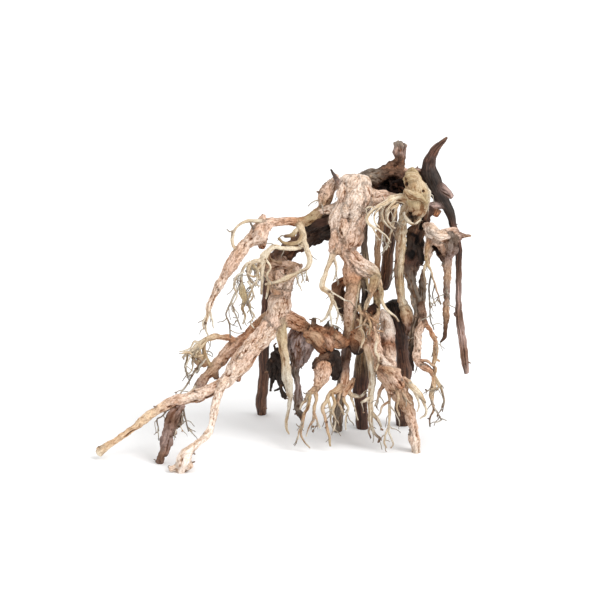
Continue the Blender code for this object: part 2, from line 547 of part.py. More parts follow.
def evaluated_mesh(obj):
    """A mesh of what a linked object evaluates to."""
    bpy.context.view_layer.update()
    graph = bpy.context.evaluated_depsgraph_get()
    return bpy.data.meshes.new_from_object(obj.evaluated_get(graph))


def limb(stations, grow):
    """One limb as a closed tube along its route."""
    points = [world_point(*station) for station in stations]
    if stations[-1][2] is ON_FLOOR:
        downward = (points[-1][0] - points[-2][0]).normalized()
        points.append((points[-1][0] + FOOT_LENGTH * downward, points[-1][1]))
    widest = 2 * max(radius for _, radius in points)
    size = next(size for size in SECTIONS if widest >= SECTIONS[size][0])
    for end, inner in ((0, 1), (-1, -2)):
        outward = (points[end][0] - points[inner][0]).normalized()
        points[end] = (points[end][0] + grow * outward, points[end][1])
    curve = bpy.data.curves.new("limb", "CURVE")
    curve.dimensions = "3D"
    curve.bevel_mode = "OBJECT"
    curve.bevel_object = sections[size]
    curve.use_fill_caps = True
    spline = curve.splines.new("POLY")
    spline.points.add(len(points) - 1)
    for i, (point, (place, radius)) in enumerate(zip(spline.points, points)):
        knot = 1 + KNOTTINESS * noise.noise(place / KNOT_SPACING)
        point.co = (*place, 1)
        point.radius = radius * knot + grow
        point.tilt = i * TWIST_PER_POINT
    obj = bpy.data.objects.new("limb", curve)
    helpers.objects.link(obj)
    mesh = evaluated_mesh(obj)
    tube = bpy.data.objects.new("tube", mesh)
    tube.matrix_world = obj.matrix_world
    bpy.data.objects.remove(obj)
    bm = bmesh.new()
    bm.from_mesh(mesh)
    bmesh.ops.remove_doubles(bm, verts=bm.verts, dist=WELD_DISTANCE)
    bmesh.ops.recalc_face_normals(bm, faces=bm.faces)
    bmesh.ops.triangulate(bm, faces=bm.faces)
    bm.to_mesh(mesh)
    bm.free()
    return tube


def boolean(obj, operation, others):
    """obj with the others joined to it or cut from it, as a new object; all of them are used up."""
    group = bpy.data.collections.new("operands")
    bpy.context.scene.collection.children.link(group)
    helpers.objects.link(obj)
    for other in others:
        group.objects.link(other)
    modifier = obj.modifiers.new(operation, "BOOLEAN")
    modifier.operation = operation
    modifier.operand_type = "COLLECTION"
    modifier.collection = group
    modifier.solver = "MANIFOLD"
    made = bpy.data.objects.new(obj.name, evaluated_mesh(obj))
    for used in [obj, *others]:
        bpy.data.objects.remove(used)
    bpy.data.collections.remove(group)
    return made


def fused(limbs, grow=0):
    """All the limbs of a piece as one solid."""
    tubes = [limb(stations, grow) for stations in limbs]
    return boolean(tubes[0], "UNION", tubes[1:]) if len(tubes) > 1 else tubes[0]


def floor_block():
    """The block below the floor that saws every foot level."""
    mesh = bpy.data.meshes.new("floor_block")
    bm = bmesh.new()
    below = Matrix.Translation((0, 0, -FLOOR_BLOCK_SIZE / 2))
    bmesh.ops.create_cube(bm, size=FLOOR_BLOCK_SIZE, matrix=below)
    bm.to_mesh(mesh)
    bm.free()
    return bpy.data.objects.new("floor_block", mesh)


def keep_largest(mesh):
    """Drops the loose scraps that a notch leaves: only the body with most surface stays."""
    bm = bmesh.new()
    bm.from_mesh(mesh)
    unseen, bodies = set(bm.faces), []
    while unseen:
        body, ahead = set(), [next(iter(unseen))]
        while ahead:
            face = ahead.pop()
            if face not in body:
                body.add(face)
                edges = [edge for edge in face.edges if len(edge.link_faces) == 2]
                ahead += [near for edge in edges for near in edge.link_faces]
        unseen -= body
        bodies.append(body)
    bodies.sort(key=lambda faces: sum(face.calc_area() for face in faces))
    scraps = [face for body in bodies[:-1] for face in body]
    bmesh.ops.delete(bm, geom=scraps, context="FACES")
    bm.to_mesh(mesh)
    bm.free()


def wood_material(wood):
    colour, roughness = WOODS[wood]
    material = bpy.data.materials.new(f"{wood}_wood")
    material.use_nodes = True
    shader = material.node_tree.nodes["Principled BSDF"]
    shader.inputs["Base Color"].default_value = colour
    shader.inputs["Roughness"].default_value = roughness
    shader.inputs["Metallic"].default_value = 0
    return material


for leftover in list(bpy.data.objects):
    bpy.data.objects.remove(leftover)
driftwood = bpy.data.collections.new("driftwood")
helpers = bpy.data.collections.new("helpers")
for collection in (driftwood, helpers):
    bpy.context.scene.collection.children.link(collection)
sections = {size: section_curve(sides, ribs) for size, (_, sides, ribs) in SECTIONS.items()}
materials = {wood: wood_material(wood) for wood in WOODS}

earlier = []
for name, (wood, limbs) in PIECES.items():
    notches = [fused(other, GAP) for other in earlier]
    piece = boolean(fused(limbs), "DIFFERENCE", [*notches, floor_block()])
    earlier.append(limbs)
    keep_largest(piece.data)
    piece.name = name
    piece.data.shade_smooth()
    piece.data.set_sharp_from_angle(angle=SHARP_EDGE)
    piece.data.materials.clear()
    piece.data.materials.append(materials[wood])
    driftwood.objects.link(piece)
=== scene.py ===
import itertools
import json
import math
import random

import bmesh
import bpy
import numpy as np
from mathutils import Matrix, Vector, kdtree, noise

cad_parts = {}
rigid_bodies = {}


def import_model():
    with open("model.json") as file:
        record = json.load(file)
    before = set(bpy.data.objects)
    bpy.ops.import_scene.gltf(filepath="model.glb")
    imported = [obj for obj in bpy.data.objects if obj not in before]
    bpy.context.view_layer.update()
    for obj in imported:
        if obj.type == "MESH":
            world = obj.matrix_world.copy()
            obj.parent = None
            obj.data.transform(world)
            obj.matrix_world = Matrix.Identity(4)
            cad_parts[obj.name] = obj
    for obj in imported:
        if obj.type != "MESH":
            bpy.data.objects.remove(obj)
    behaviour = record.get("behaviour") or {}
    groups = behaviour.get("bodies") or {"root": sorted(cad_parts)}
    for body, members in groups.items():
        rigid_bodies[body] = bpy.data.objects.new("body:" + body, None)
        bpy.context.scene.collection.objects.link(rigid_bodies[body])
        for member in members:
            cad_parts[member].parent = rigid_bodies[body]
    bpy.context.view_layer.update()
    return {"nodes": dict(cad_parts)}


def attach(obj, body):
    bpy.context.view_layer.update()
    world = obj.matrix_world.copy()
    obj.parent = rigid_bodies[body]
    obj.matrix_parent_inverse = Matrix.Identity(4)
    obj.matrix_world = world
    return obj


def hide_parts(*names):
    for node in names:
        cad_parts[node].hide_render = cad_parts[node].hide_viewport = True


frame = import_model()
print("frame loaded:", len(frame["nodes"]), "solids")
noise.seed_set(1)  # else noise_vector takes its seed from the clock, and no two runs are alike

mm = 0.001
onFloor = None  # as a station's back: it lies on the floor

# The sketch plane that the routes are drawn on, as the solids have it
sketch = {
    "lookDown": math.radians(14),
    "eyeDistance": 2200 * mm,
    "eyeUp": 210 * mm,
    "viewWidth": 900 * mm,
    "centre": Vector((-19.5 * mm, -7 * mm, 0)),
}

growth = {
    "knottiness": 0.3,
    "knotSpacing": 17 * mm,
    "footLength": 14 * mm,  # how far a foot runs on below the floor, to be sawn off
    "waist": 0.8,  # between two stations a limb is at least this share of the thinner one
    "wander": 0.9 * mm,  # how far a route strays between its stations
    "wanderSpacing": 8 * mm,
    "steadyRings": 4,  # over so many rings the wander sets in
    "slenderTwigs": 0.95,  # thinner than in the sketch, to leave room for what sprouts from them
    "stockRadius": 3.2 * mm,  # thicker stretches are fused into one skin
    "stockStep": 2.5 * mm,
    "stockSides": 16,
    "twigStep": 1.8 * mm,
    "twigSides": 8,
    "shortest": 4,  # fewest rings in a stretch of its own
    "overlap": 3,  # rings that a thin stretch runs on inside the thick one
    "leastRadius": 0.45 * mm,
    "tip": ((0.2, 0.92), (0.36, 0.72), (0.46, 0.4)),  # a blunt tip: how far out, and how wide there
    "voxel": 1.15 * mm,
    "smoothing": 5,
    "sampleSpacing": 2.5 * mm,  # of the points by which the skin finds its ring
    "leastSamples": 6,
    "shadeBlending": 8,
    "sproutStarts": (5, 9),  # the range of a sprout's own place in the grain
}

# Wood tones: colour in sRGB, and how much bark is on the wood
shades = {
    "blush": ((243, 229, 217), 0.45),
    "pink": ((238, 218, 202), 1.0),
    "rosy": ((224, 194, 174), 1.0),
    "peach": ((232, 204, 172), 0.7),
    "sand": ((226, 213, 190), 0.15),
    "straw": ((206, 186, 156), 0.3),
    "olive": ((176, 158, 124), 0.5),
    "tan": ((192, 160, 132), 0.75),
    "amber": ((196, 150, 118), 1.0),
    "rust": ((164, 112, 78), 0.9),
    "umber": ((104, 76, 58), 0.8),
    "ash": ((206, 198, 182), 0.2),
    "slate": ((118, 107, 96), 0.5),
    "mauve": ((146, 125, 118), 0.9),
    "lilac": ((168, 151, 148), 0.9),
    "dark": ((78, 53, 42), 0.3),
    "soot": ((48, 39, 34), 0.8),
}


def linear(colour):
    # sRGB to the light values that Blender reckons in
    return Vector([((part / 255 + 0.055) / 1.055) ** 2.4 for part in colour])


woodTones = {name: (linear(colour), bark) for name, (colour, bark) in shades.items()}


def onSketch(across, up):
    return Vector((across, up * math.sin(sketch["lookDown"]), up * math.cos(sketch["lookDown"])))


lookAlong = Vector((0, math.cos(sketch["lookDown"]), -math.sin(sketch["lookDown"])))
eye = onSketch(0, sketch["eyeUp"]) - sketch["eyeDistance"] * lookAlong


def stationPoint(across, up, back, thickness):
    # the world place of a station in mm, and the limb's radius there with its knot
    drawn = onSketch(across * mm, up * mm)
    if back is onFloor:
        reach = eye.z / (eye.z - drawn.z)
    else:
        reach = (back * mm - eye.y) / (drawn.y - eye.y)
    place = eye + reach * (drawn - eye) - sketch["centre"]
    knot = 1 + growth["knottiness"] * noise.noise(place / growth["knotSpacing"])
    return place, thickness * mm / 2 * reach * knot


class Ring:
    # one cross-section of a limb: where it lies, how it is turned, how thick it is, what wood it is
    def __init__(self, centre, turn, radius, along, tone, bark):
        self.centre, self.turn, self.radius, self.along = centre, turn, radius, along
        self.tone, self.bark = tone, bark
        self.matrix = Matrix.LocRotScale(centre, turn, Vector((radius, radius, radius)))

    def sunk(self, factor):
        return Ring(self.centre, self.turn, self.radius * factor, self.along, self.tone, self.bark)


def smoothRoute(stations):
    # points a few millimetres apart on a smooth curve through the stations, each with its radius
    rows = [(*place, radius) for place, radius in (stationPoint(*station) for station in stations)]
    rows = [np.array(row) for row in rows]
    if stations[-1][2] is onFloor:
        downward = rows[-1] - rows[-2]
        downward[3] = 0
        rows.append(rows[-1] + downward * growth["footLength"] / np.linalg.norm(downward))
    thick = max(row[3] for row in rows) >= growth["stockRadius"]
    step = growth["stockStep"] if thick else growth["twigStep"]
    rows = [2 * rows[0] - rows[1], *rows, 2 * rows[-1] - rows[-2]]
    route = []
    for before, start, end, after in zip(rows, rows[1:], rows[2:], rows[3:]):
        count = max(1, round(float(np.linalg.norm((end - start)[:3])) / step))
        thinnest = growth["waist"] * min(start[3], end[3])
        for i in range(count):
            t = i / count
            bend = 2 * before - 5 * start + 4 * end - after
            twist = 3 * start - before - 3 * end + after
            point = (2 * start + (end - before) * t + bend * t**2 + twist * t**3) / 2
            route.append((Vector(point[:3]), max(point[3], thinnest, growth["leastRadius"])))
    route.append((Vector(rows[-2][:3]), max(rows[-2][3], growth["leastRadius"])))
    return route


def toneAt(names, share):
    # the tones are spread evenly along a limb
    position = share * (len(names) - 1)
    first = min(int(position), len(names) - 2) if len(names) > 1 else 0
    colour, bark = woodTones[names[first]]
    if len(names) == 1:
        return colour, bark
    nextColour, nextBark = woodTones[names[first + 1]]
    mix = position - first
    return colour.lerp(nextColour, mix), bark + (nextBark - bark) * mix


def ringsAlong(route, names, start):
    # turns a route into rings that don't twist; start sets the limb's own place in the grain
    rings, along = [], start
    total = sum((b[0] - a[0]).length for a, b in zip(route, route[1:]))
    for i, (centre, radius) in enumerate(route):
        ahead = route[min(i + 1, len(route) - 1)][0] - route[max(i - 1, 0)][0]
        tangent = ahead.normalized()
        if i:
            turn = last.rotation_difference(tangent) @ turn
            along += (centre - route[i - 1][0]).length
        else:
            turn = tangent.to_track_quat("Z", "X")
        stray = noise.noise_vector(centre / growth["wanderSpacing"]) * growth["wander"]
        tone, bark = toneAt(names, (along - start) / total)
        centre = centre + stray * min(i / growth["steadyRings"], 1)
        rings.append(Ring(centre, turn, radius, along, tone, bark))
        last = tangent
    return rings


def beyond(end, side):
    # the rings of a blunt tip, on the side of the end ring where the limb stops
    for reach, narrow in growth["tip"]:
        shift = side * reach * end.radius
        centre = end.centre + end.turn @ Vector((0, 0, shift))
        yield Ring(centre, end.turn, end.radius * narrow, end.along + shift, end.tone, end.bark)


def growLimb(names, stations, start, sawn):
    # a sawn limb ends flat, any other in blunt tips
    rings = ringsAlong(smoothRoute(stations), names.split(), start)
    if sawn:
        return rings
    return [*reversed(list(beyond(rings[0], -1))), *rings, *beyond(rings[-1], 1)]


def stretches(rings):
    # parts a limb where it gets too thin for the fused skin; a short stretch goes with the one before it
    parted = []
    for ring in rings:
        thick = ring.radius >= growth["stockRadius"]
        if parted and (parted[-1][0] == thick or len(parted[-1][1]) < growth["shortest"]):
            parted[-1][1].append(ring)
        else:
            parted.append((thick, [ring]))
    if len(parted) > 1 and len(parted[-1][1]) < growth["shortest"]:
        parted[-2][1].extend(parted.pop()[1])
    for i, (thick, part) in enumerate(parted):
        if not thick:
            before = parted[i - 1][1][-growth["overlap"] :] if i else []
            after = parted[i + 1][1][: growth["overlap"]] if i + 1 < len(parted) else []
            part = [ring.sunk(growth["slenderTwigs"]) for ring in [*before, *part, *after]]
        if len(part) > 1:
            yield thick, part


def tube(rings, sides):
    bm = bmesh.new()
    bmesh.ops.create_circle(bm, cap_ends=True, segments=sides, radius=1, matrix=rings[0].matrix)
    rim = bm.edges[:]
    for before, ring in zip(rings, rings[1:]):
        made = bmesh.ops.extrude_edge_only(bm, edges=rim)["geom"]
        verts = [part for part in made if isinstance(part, bmesh.types.BMVert)]
        edges = [part for part in made if isinstance(part, bmesh.types.BMEdge)]
        fresh = set(verts)
        rim = [edge for edge in edges if fresh.issuperset(edge.verts)]
        bmesh.ops.transform(bm, matrix=ring.matrix @ before.matrix.inverted(), verts=verts)
    bmesh.ops.contextual_create(bm, geom=rim)
    bmesh.ops.recalc_face_normals(bm, faces=bm.faces)
    bmesh.ops.triangulate(bm, faces=bm.faces)
    mesh = bpy.data.meshes.new("tube")
    bm.to_mesh(mesh)
    bm.free()
    return mesh


def evaluated(obj):
    bpy.context.view_layer.update()
    graph = bpy.context.evaluated_depsgraph_get()
    return bpy.data.meshes.new_from_object(obj.evaluated_get(graph))


def addObject(name, mesh, collection):
    obj = bpy.data.objects.new(name, mesh)
    collection.objects.link(obj)
    return obj


def addModifier(obj, kind, **settings):
    modifier = obj.modifiers.new(kind.lower(), kind)
    for setting, value in settings.items():
        setattr(modifier, setting, value)


def fusedSkin(limbs):
    # thick stretches become one remeshed skin; thin ones are united with it, and the feet are sawn level
    stock, twigs = bmesh.new(), bpy.data.collections.new("twigs")
    bpy.context.scene.collection.children.link(twigs)
    for rings in limbs:
        for thick, part in stretches(rings):
            if thick:
                mesh = tube(part, growth["stockSides"])
                stock.from_mesh(mesh)
                bpy.data.meshes.remove(mesh)
            else:
                addObject("twig", tube(part, growth["twigSides"]), twigs)
    mesh = bpy.data.meshes.new("stock")
    stock.to_mesh(mesh)
    stock.free()
    skin = addObject("skin", mesh, bpy.context.scene.collection)
    addModifier(skin, "REMESH", mode="VOXEL", voxel_size=growth["voxel"], adaptivity=0)
    addModifier(skin, "SMOOTH", factor=0.5, iterations=growth["smoothing"])
    addModifier(skin, "TRIANGULATE")
    if len(twigs.objects):
        joined = {"operand_type": "COLLECTION", "collection": twigs}
        addModifier(skin, "BOOLEAN", operation="UNION", solver="MANIFOLD", **joined)
    addModifier(skin, "BOOLEAN", operation="DIFFERENCE", solver="MANIFOLD", object=ground)
    made = evaluated(skin)
    for used in [*twigs.objects, skin]:
        bpy.data.objects.remove(used)
    bpy.data.collections.remove(twigs)
    return made


def ownersTree(limbs):
    # the limbs' surfaces as scattered samples, to find which ring any point of the skin belongs to
    owners, places = [], []
    for rings in limbs:
        for ring in rings:
            count = math.ceil(math.tau * ring.radius / growth["sampleSpacing"])
            count = max(growth["leastSamples"], count)
            for i in range(count):
                angle = math.tau * i / count
                places.append(ring.matrix @ Vector((math.cos(angle), math.sin(angle), 0)))
                owners.append(ring)
    tree = kdtree.KDTree(len(places))
    for i, place in enumerate(places):
        tree.insert(place, i)
    tree.balance()
    return tree, owners


def sprout(limbs, count, kind, chance):
    # small side growth by rule: it leaves a limb sideways, then droops and curls
    parents = [rings for rings in limbs if rings[len(rings) // 2].radius < kind["thickestParent"]]
    grown = []
    for _ in range(count):
        rings = chance.choices(parents, [len(rings) for rings in parents])[0]
        root = rings[chance.randrange(len(rings) // 4, len(rings) - 1)]  # past a limb's first quarter
        angle = chance.uniform(0, math.tau)
        heading = root.turn @ Vector((math.cos(angle), math.sin(angle), chance.uniform(0, kind["lean"])))
        place, radius = root.centre.copy(), chance.uniform(*kind["radius"])
        steps = round((root.radius + chance.uniform(*kind["length"])) / growth["twigStep"])
        route = []
        for i in range(steps):
            route.append((place.copy(), radius * (1 - kind["taper"] * i / steps)))
            curl = noise.noise_vector(place / kind["curlSpacing"])
            heading += Vector((0, 0, -kind["droop"])) + kind["curl"] * curl
            heading.normalize()
            place += heading * growth["twigStep"]
            place.z = max(place.z, 2 * radius)  # clear of the floor
        if len(route) > 2:
            rings = ringsAlong(route, kind["tones"], chance.uniform(*growth["sproutStarts"]))
            grown.append([*rings, *beyond(rings[-1], 1)])
    return grown


rootlet = {
    "thickestParent": 5 * mm,
    "length": (8 * mm, 24 * mm),
    "radius": (0.75 * mm, 1.15 * mm),
    "taper": 0.5,
    "lean": 1.2,
    "droop": 0.12,
    "curl": 0.45,
    "curlSpacing": 6 * mm,
    "tones": ["ash", "slate"],
}
nub = {
    "thickestParent": 20 * mm,
    "length": (1.5 * mm, 5 * mm),
    "radius": (0.9 * mm, 1.9 * mm),
    "taper": 0.35,
    "lean": 0.8,
    "droop": 0,
    "curl": 0.15,
    "curlSpacing": 6 * mm,
    "tones": ["tan", "umber"],
}


def blended(mesh, values, rounds):
    # each vertex takes the mean of its neighbours, a few times over
    edges = np.empty(len(mesh.edges) * 2, int)
    mesh.edges.foreach_get("vertices", edges)
    first, second = edges[::2], edges[1::2]
    degree = np.bincount(edges, minlength=len(values)) + 1
    for _ in range(rounds):
        for column in range(values.shape[1]):
            value = values[:, column]
            total = value + np.bincount(first, value[second], len(value))
            total += np.bincount(second, value[first], len(value))
            values[:, column] = total / degree
    return values


carving = {
    "ribsRound": 1.7,  # how often the ribs change round a limb
    "plateEdge": 4,  # how steep the edge of a bark plate is
    "plateGap": 0.75,  # how far the gaps between plates go down
    "fullRelief": 4 * mm,  # a thinner limb has shallower fibres, grit and plates
    "rimLumps": 1.1,  # how ragged the rim of a hollow is
    "rimGrit": 0.7,
    "sawnHeight": 0.3 * mm,  # lower than this the skin stays flat on the floor
}
# How much of each the materials see through one attribute of the skin, which they paint as shade where it
# is low (creases, hollows, undersides) and as a highlight where it is high (ridges)
seen = {
    "ribs": 1.1,
    "lumps": 0.5,
    "grit": 0.5,
    "plates": 0.8,
    "fibres": 0.8,
    # faces turned down count as sunk, so they are painted darker, as shade
    "undersideShade": 0.8,
    # a hollow is painted dark, as the shade inside it
    "hollows": 2.2,
    "furthest": 1.5,  # the attribute lies between this and its negative
}


def carve(mesh, limbs, finish, rugged, hollows):
    # moves the skin in and out along the grain, and keeps what the materials read, with the values that
    # they paint as shade and highlight
    fibreHeight, fibreLength, fibreWidth = finish["fibres"]
    plateHeight, plateLength, plateWidth = finish["plates"]
    ribHeight, ribLength = finish["ribs"]
    lumpHeight, lumpSpacing = finish["lumps"]
    gritHeight, gritSpacing = finish["grit"]
    hollows = [(*stationPoint(*hollow[:4]), hollow[4] * mm) for hollow in hollows]
    tree, owners = ownersTree(limbs)
    count = len(mesh.vertices)
    places, grain, reliefShades = np.empty((count, 3)), np.empty((count, 3)), np.empty((count, 1))
    tones = np.empty((count, 5))
    for i, vertex in enumerate(mesh.vertices):
        place = vertex.co
        ring = owners[tree.find(place)[1]]
        across, up, ahead = ring.turn.inverted() @ (place - ring.centre)
        along, radius = ring.along + ahead, ring.radius
        around = carving["ribsRound"]
        rib = noise.noise((along / ribLength, around * across / radius, around * up / radius))
        lump = noise.noise(place / lumpSpacing)
        plate = noise.noise((along / plateLength, across / plateWidth, up / plateWidth))
        plate = min(abs(plate) * carving["plateEdge"], 1) - carving["plateGap"]
        grit = noise.noise(place / gritSpacing)
        fibre = noise.noise((along / fibreLength, across / fibreWidth, up / fibreWidth))
        height = min(radius, finish["deepest"]) * (ribHeight * rib + rugged * lumpHeight * lump)
        rough = rugged * (gritHeight * grit + plateHeight * plate * ring.bark)
        height += min(radius / carving["fullRelief"], 1) * (rough + fibreHeight * fibre)
        shownShade = seen["ribs"] * rib + seen["lumps"] * lump + seen["grit"] * grit
        shownShade += seen["plates"] * plate * ring.bark
        # a face turned down counts as sunk: painted shade on undersides
        shownShade += seen["fibres"] * fibre + seen["undersideShade"] * min(vertex.normal.z, 0)
        # hollows are carved in and painted dark, as the shade inside them
        for centre, reach, deep in hollows:
            near = 1 - (place - centre).length_squared / reach**2
            near = near + carving["rimLumps"] * lump + carving["rimGrit"] * grit
            if near > 0 and (place - centre).length < reach:
                near = min(near, 1)
                height -= deep * near**2
                shownShade -= seen["hollows"] * near
        moved = place + vertex.normal * height
        places[i] = (moved.x, moved.y, 0 if place.z < carving["sawnHeight"] else max(moved.z, 0))
        grain[i] = (along, across, up)
        reliefShades[i] = max(-seen["furthest"], min(shownShade, seen["furthest"]))
        tones[i] = (*ring.tone, 1, ring.bark)
    mesh.vertices.foreach_set("co", places.ravel())
    tones = blended(mesh, tones, growth["shadeBlending"])
    for name, kind, field, values in (
        ("grain", "FLOAT_VECTOR", "vector", grain),
        ("shade", "FLOAT_COLOR", "color", tones[:, :4]),
        ("bark", "FLOAT", "value", tones[:, 4]),
        ("reliefShade", "FLOAT", "value", reliefShades),
    ):
        kept = mesh.attributes.new(name, kind, "POINT").data
        kept.foreach_set(field, np.ascontiguousarray(values, np.float32).ravel())


# Materials
class Value:
    # a shader socket that takes part in sums
    def __init__(self, paint, socket):
        self.paint, self.socket = paint, socket

    def sum(self, operation, first, second):
        return self.paint.node("ShaderNodeMath", {"operation": operation}, {0: first, 1: second})

    def __add__(self, other):
        return self.sum("ADD", self, other)

    def __radd__(self, other):
        return self.sum("ADD", other, self)

    def __sub__(self, other):
        return self.sum("SUBTRACT", self, other)

    def __rsub__(self, other):
        return self.sum("SUBTRACT", other, self)

    def __mul__(self, other):
        return self.sum("MULTIPLY", self, other)

    def __rmul__(self, other):
        return self.sum("MULTIPLY", other, self)


class Paint:
    # one material, the nodes that it is made of and its colour so far
    def __init__(self, name):
        self.material = bpy.data.materials.new(name)
        self.material.use_nodes = True
        self.tree = self.material.node_tree
        self.shader = self.tree.nodes["Principled BSDF"]
        self.grain = self.attribute("grain", "Vector")
        self.colour = self.attribute("shade", "Color")
        self.bark = self.attribute("bark", "Fac")
        # relief, with undersides and hollows counted as sunk: the materials paint it as shade and
        # highlight
        self.reliefShade = self.attribute("reliefShade", "Fac")

    def join(self, socket, value):
        if isinstance(value, Value):
            self.tree.links.new(value.socket, socket)
        else:
            socket.default_value = value

    def node(self, kind, settings, sockets, output=0):
        made = self.tree.nodes.new(kind)
        for setting, value in settings.items():
            setattr(made, setting, value)
        for socket, value in sockets.items():
            self.join(made.inputs[socket], value)
        return Value(self, made.outputs[output])

    def attribute(self, name, output):
        return self.node("ShaderNodeAttribute", {"attribute_name": name}, {}, output)

    def vectors(self, operation, first, second):
        return self.node("ShaderNodeVectorMath", {"operation": operation}, {0: first, 1: second})

    def stretched(self, length, width, shift):
        scale = (1 / length, 1 / width, 1 / width)
        sockets = {"Vector": self.grain, "Scale": scale, "Location": (shift, 0, shift)}
        return self.node("ShaderNodeMapping", {}, sockets)

    def streaks(self, length, width, detail, shift=0):
        # noise drawn out along the grain
        place = self.stretched(length, width, shift)
        sockets = {"Vector": place, "Scale": 1, "Detail": detail, "Roughness": 0.55}
        return self.node("ShaderNodeTexNoise", {}, sockets)

    def cells(self, length, width, feature="F1", output=0):
        # ragged cells drawn out along the grain: how far a place is from its cell's heart or edge, or, as
        # output 1, a random value for each cell
        ragged = {"Vector": self.grain, "Scale": 1 / width, "Detail": 2}
        stray = self.node("ShaderNodeTexNoise", {}, ragged, 1)
        sockets = {"Vector": self.vectors("ADD", self.stretched(length, width, 0), stray), "Scale": 1}
        return self.node("ShaderNodeTexVoronoi", {"feature": feature}, sockets, output)

    def rise(self, value, low, high):
        # 0 below low, 1 above high, smooth between
        sockets = {"Value": value, "From Min": low, "From Max": high}
        return self.node("ShaderNodeMapRange", {"interpolation_type": "SMOOTHSTEP"}, sockets)

    def tone(self, mask, tint):
        # the colour turns towards a tint of itself where the mask says
        tinted = self.vectors("MULTIPLY", self.colour, tint)
        sockets = {0: mask, 6: self.colour, 7: tinted}
        self.colour = self.node("ShaderNodeMix", {"data_type": "RGBA"}, sockets, 2)

    def finish(self, roughness, height, bump):
        sockets = {"Height": height, "Distance": bump, "Strength": 1}
        self.join(self.shader.inputs["Base Color"], self.colour)
        self.join(self.shader.inputs["Roughness"], roughness)
        self.join(self.shader.inputs["Normal"], self.node("ShaderNodeBump", {}, sockets))
        self.shader.inputs["Specular IOR Level"].default_value = 0.3
        return self.material


# Beside each material stand its tints, its streaks by length, width and detail, and its cells by length
# and width
# the specks' size and tints, and the tints of the painted shade in creases and in the deepest pits
speckShadeLook = {
    "specks": (2.4 * mm, 1.5 * mm, 2),
    "darkSpeck": (0.64, 0.54, 0.45),
    "paleSpeck": (1.2, 1.2, 1.2),
    "creaseShade": (0.5, 0.35, 0.25),
    "pitShade": (0.17, 0.12, 0.085),
}


def specksAndShade(paint, start):
    # fine specks over all; creases, hollows and undersides are painted darker, as shade, the deeper they
    # lie
    specks, sunk = paint.streaks(*speckShadeLook["specks"]), 0 - paint.reliefShade
    paint.tone(0.6 * paint.rise(specks, 0.5, 0.68), speckShadeLook["darkSpeck"])
    paint.tone(0.7 * paint.rise(specks, 0.46, 0.3), speckShadeLook["paleSpeck"])
    # painted shade: brown in creases, near black in the deepest pits
    paint.tone(paint.rise(sunk, start, start + 0.8), speckShadeLook["creaseShade"])
    paint.tone(paint.rise(sunk, 0.95, 1.5), speckShadeLook["pitShade"])


fleckedLook = {
    "patches": (34 * mm, 12 * mm, 2),
    "crumbs": (5 * mm, 2 * mm, 4),
    "stripes": (26 * mm, 1.1 * mm, 3),
    "scales": (4 * mm, 2.1 * mm),
    "patch": (0.84, 0.74, 0.64),
    "fleck": (0.66, 0.5, 0.38),
    "crack": (0.55, 0.41, 0.31),
    "stripe": (0.66, 0.54, 0.42),
    "stain": (0.6, 0.47, 0.35),
    "ridge": (1.15, 1.15, 1.14),
    "bump": 0.8 * mm,
}


def fleckedBark():
    # pale bark broken into small brown scales along the grain; smooth striped wood where there is no bark
    look, paint = fleckedLook, Paint("fleckedBark")
    patches, crumbs, stripes = [paint.streaks(*look[name]) for name in ("patches", "crumbs", "stripes")]
    scales = paint.cells(*look["scales"], output=1)
    seams = paint.cells(*look["scales"], "DISTANCE_TO_EDGE")
    bare = 1 - paint.bark
    paint.tone(0.7 * paint.rise(patches, 0.45, 0.65), look["patch"])
    flecks = paint.rise(scales + crumbs, 1.08, 1.24) * paint.bark
    paint.tone(0.6 * flecks, look["fleck"])
    cracks = (1 - paint.rise(seams, 0.02, 0.14)) * paint.rise(crumbs, 0.46, 0.6) * paint.bark
    paint.tone(0.5 * cracks, look["crack"])
    paint.tone(0.6 * paint.rise(stripes, 0.48, 0.66) * bare, look["stripe"])
    paint.tone(0.7 * paint.rise(patches + 0.3 * crumbs, 0.62, 0.78) * bare, look["stain"])
    specksAndShade(paint, 0.32)
    # painted highlight: where the relief stands high the bark is lighter
    paint.tone(0.6 * paint.rise(paint.reliefShade, 0.2, 0.9), look["ridge"])
    height = crumbs * paint.bark + 0.4 * stripes - cracks - 0.5 * flecks
    return paint.finish(0.72 + 0.2 * crumbs, height, look["bump"])


creamLook = {
    "patches": (26 * mm, 9 * mm, 3),
    "stripes": (24 * mm, 1.3 * mm, 3),
    "pores": (4 * mm, 1.8 * mm),
    "patch": (0.7, 0.57, 0.43),
    "stripe": (0.68, 0.56, 0.42),
    "pore": (0.5, 0.4, 0.3),
    "ridge": (1.15, 1.15, 1.15),
    "bump": 0.6 * mm,
}


def creamRoot():
    # peeled root: cream and finely striped; its creases are painted brown and dark, as shade, and its
    # ridges lighter, as highlight
    look, paint = creamLook, Paint("creamRoot")
    patches, stripes = paint.streaks(*look["patches"]), paint.streaks(*look["stripes"])
    pores = paint.cells(*look["pores"])
    paint.tone(0.8 * paint.rise(patches, 0.46, 0.64), look["patch"])
    paint.tone(0.6 * paint.rise(stripes, 0.46, 0.64), look["stripe"])
    paint.tone(0.5 * (1 - paint.rise(pores, 0.1, 0.3)), look["pore"])
    specksAndShade(paint, 0.1)
    # painted highlight: where the relief stands high the root is lighter
    paint.tone(0.6 * paint.rise(paint.reliefShade, 0.2, 0.9), look["ridge"])
    return paint.finish(0.62 + 0.25 * stripes, stripes + 0.5 * pores, look["bump"])


poleLook = {
    "streaks": (50 * mm, 2 * mm, 5),
    "patches": (60 * mm, 9 * mm, 2, 3),  # the last is a shift, so that they don't follow the streaks
    "paleStreak": (2.5, 2.35, 2.3),
    "darkStreak": (0.35, 0.28, 0.23),
    "patch": (0.55, 0.5, 0.48),
    "bump": 0.7 * mm,
}


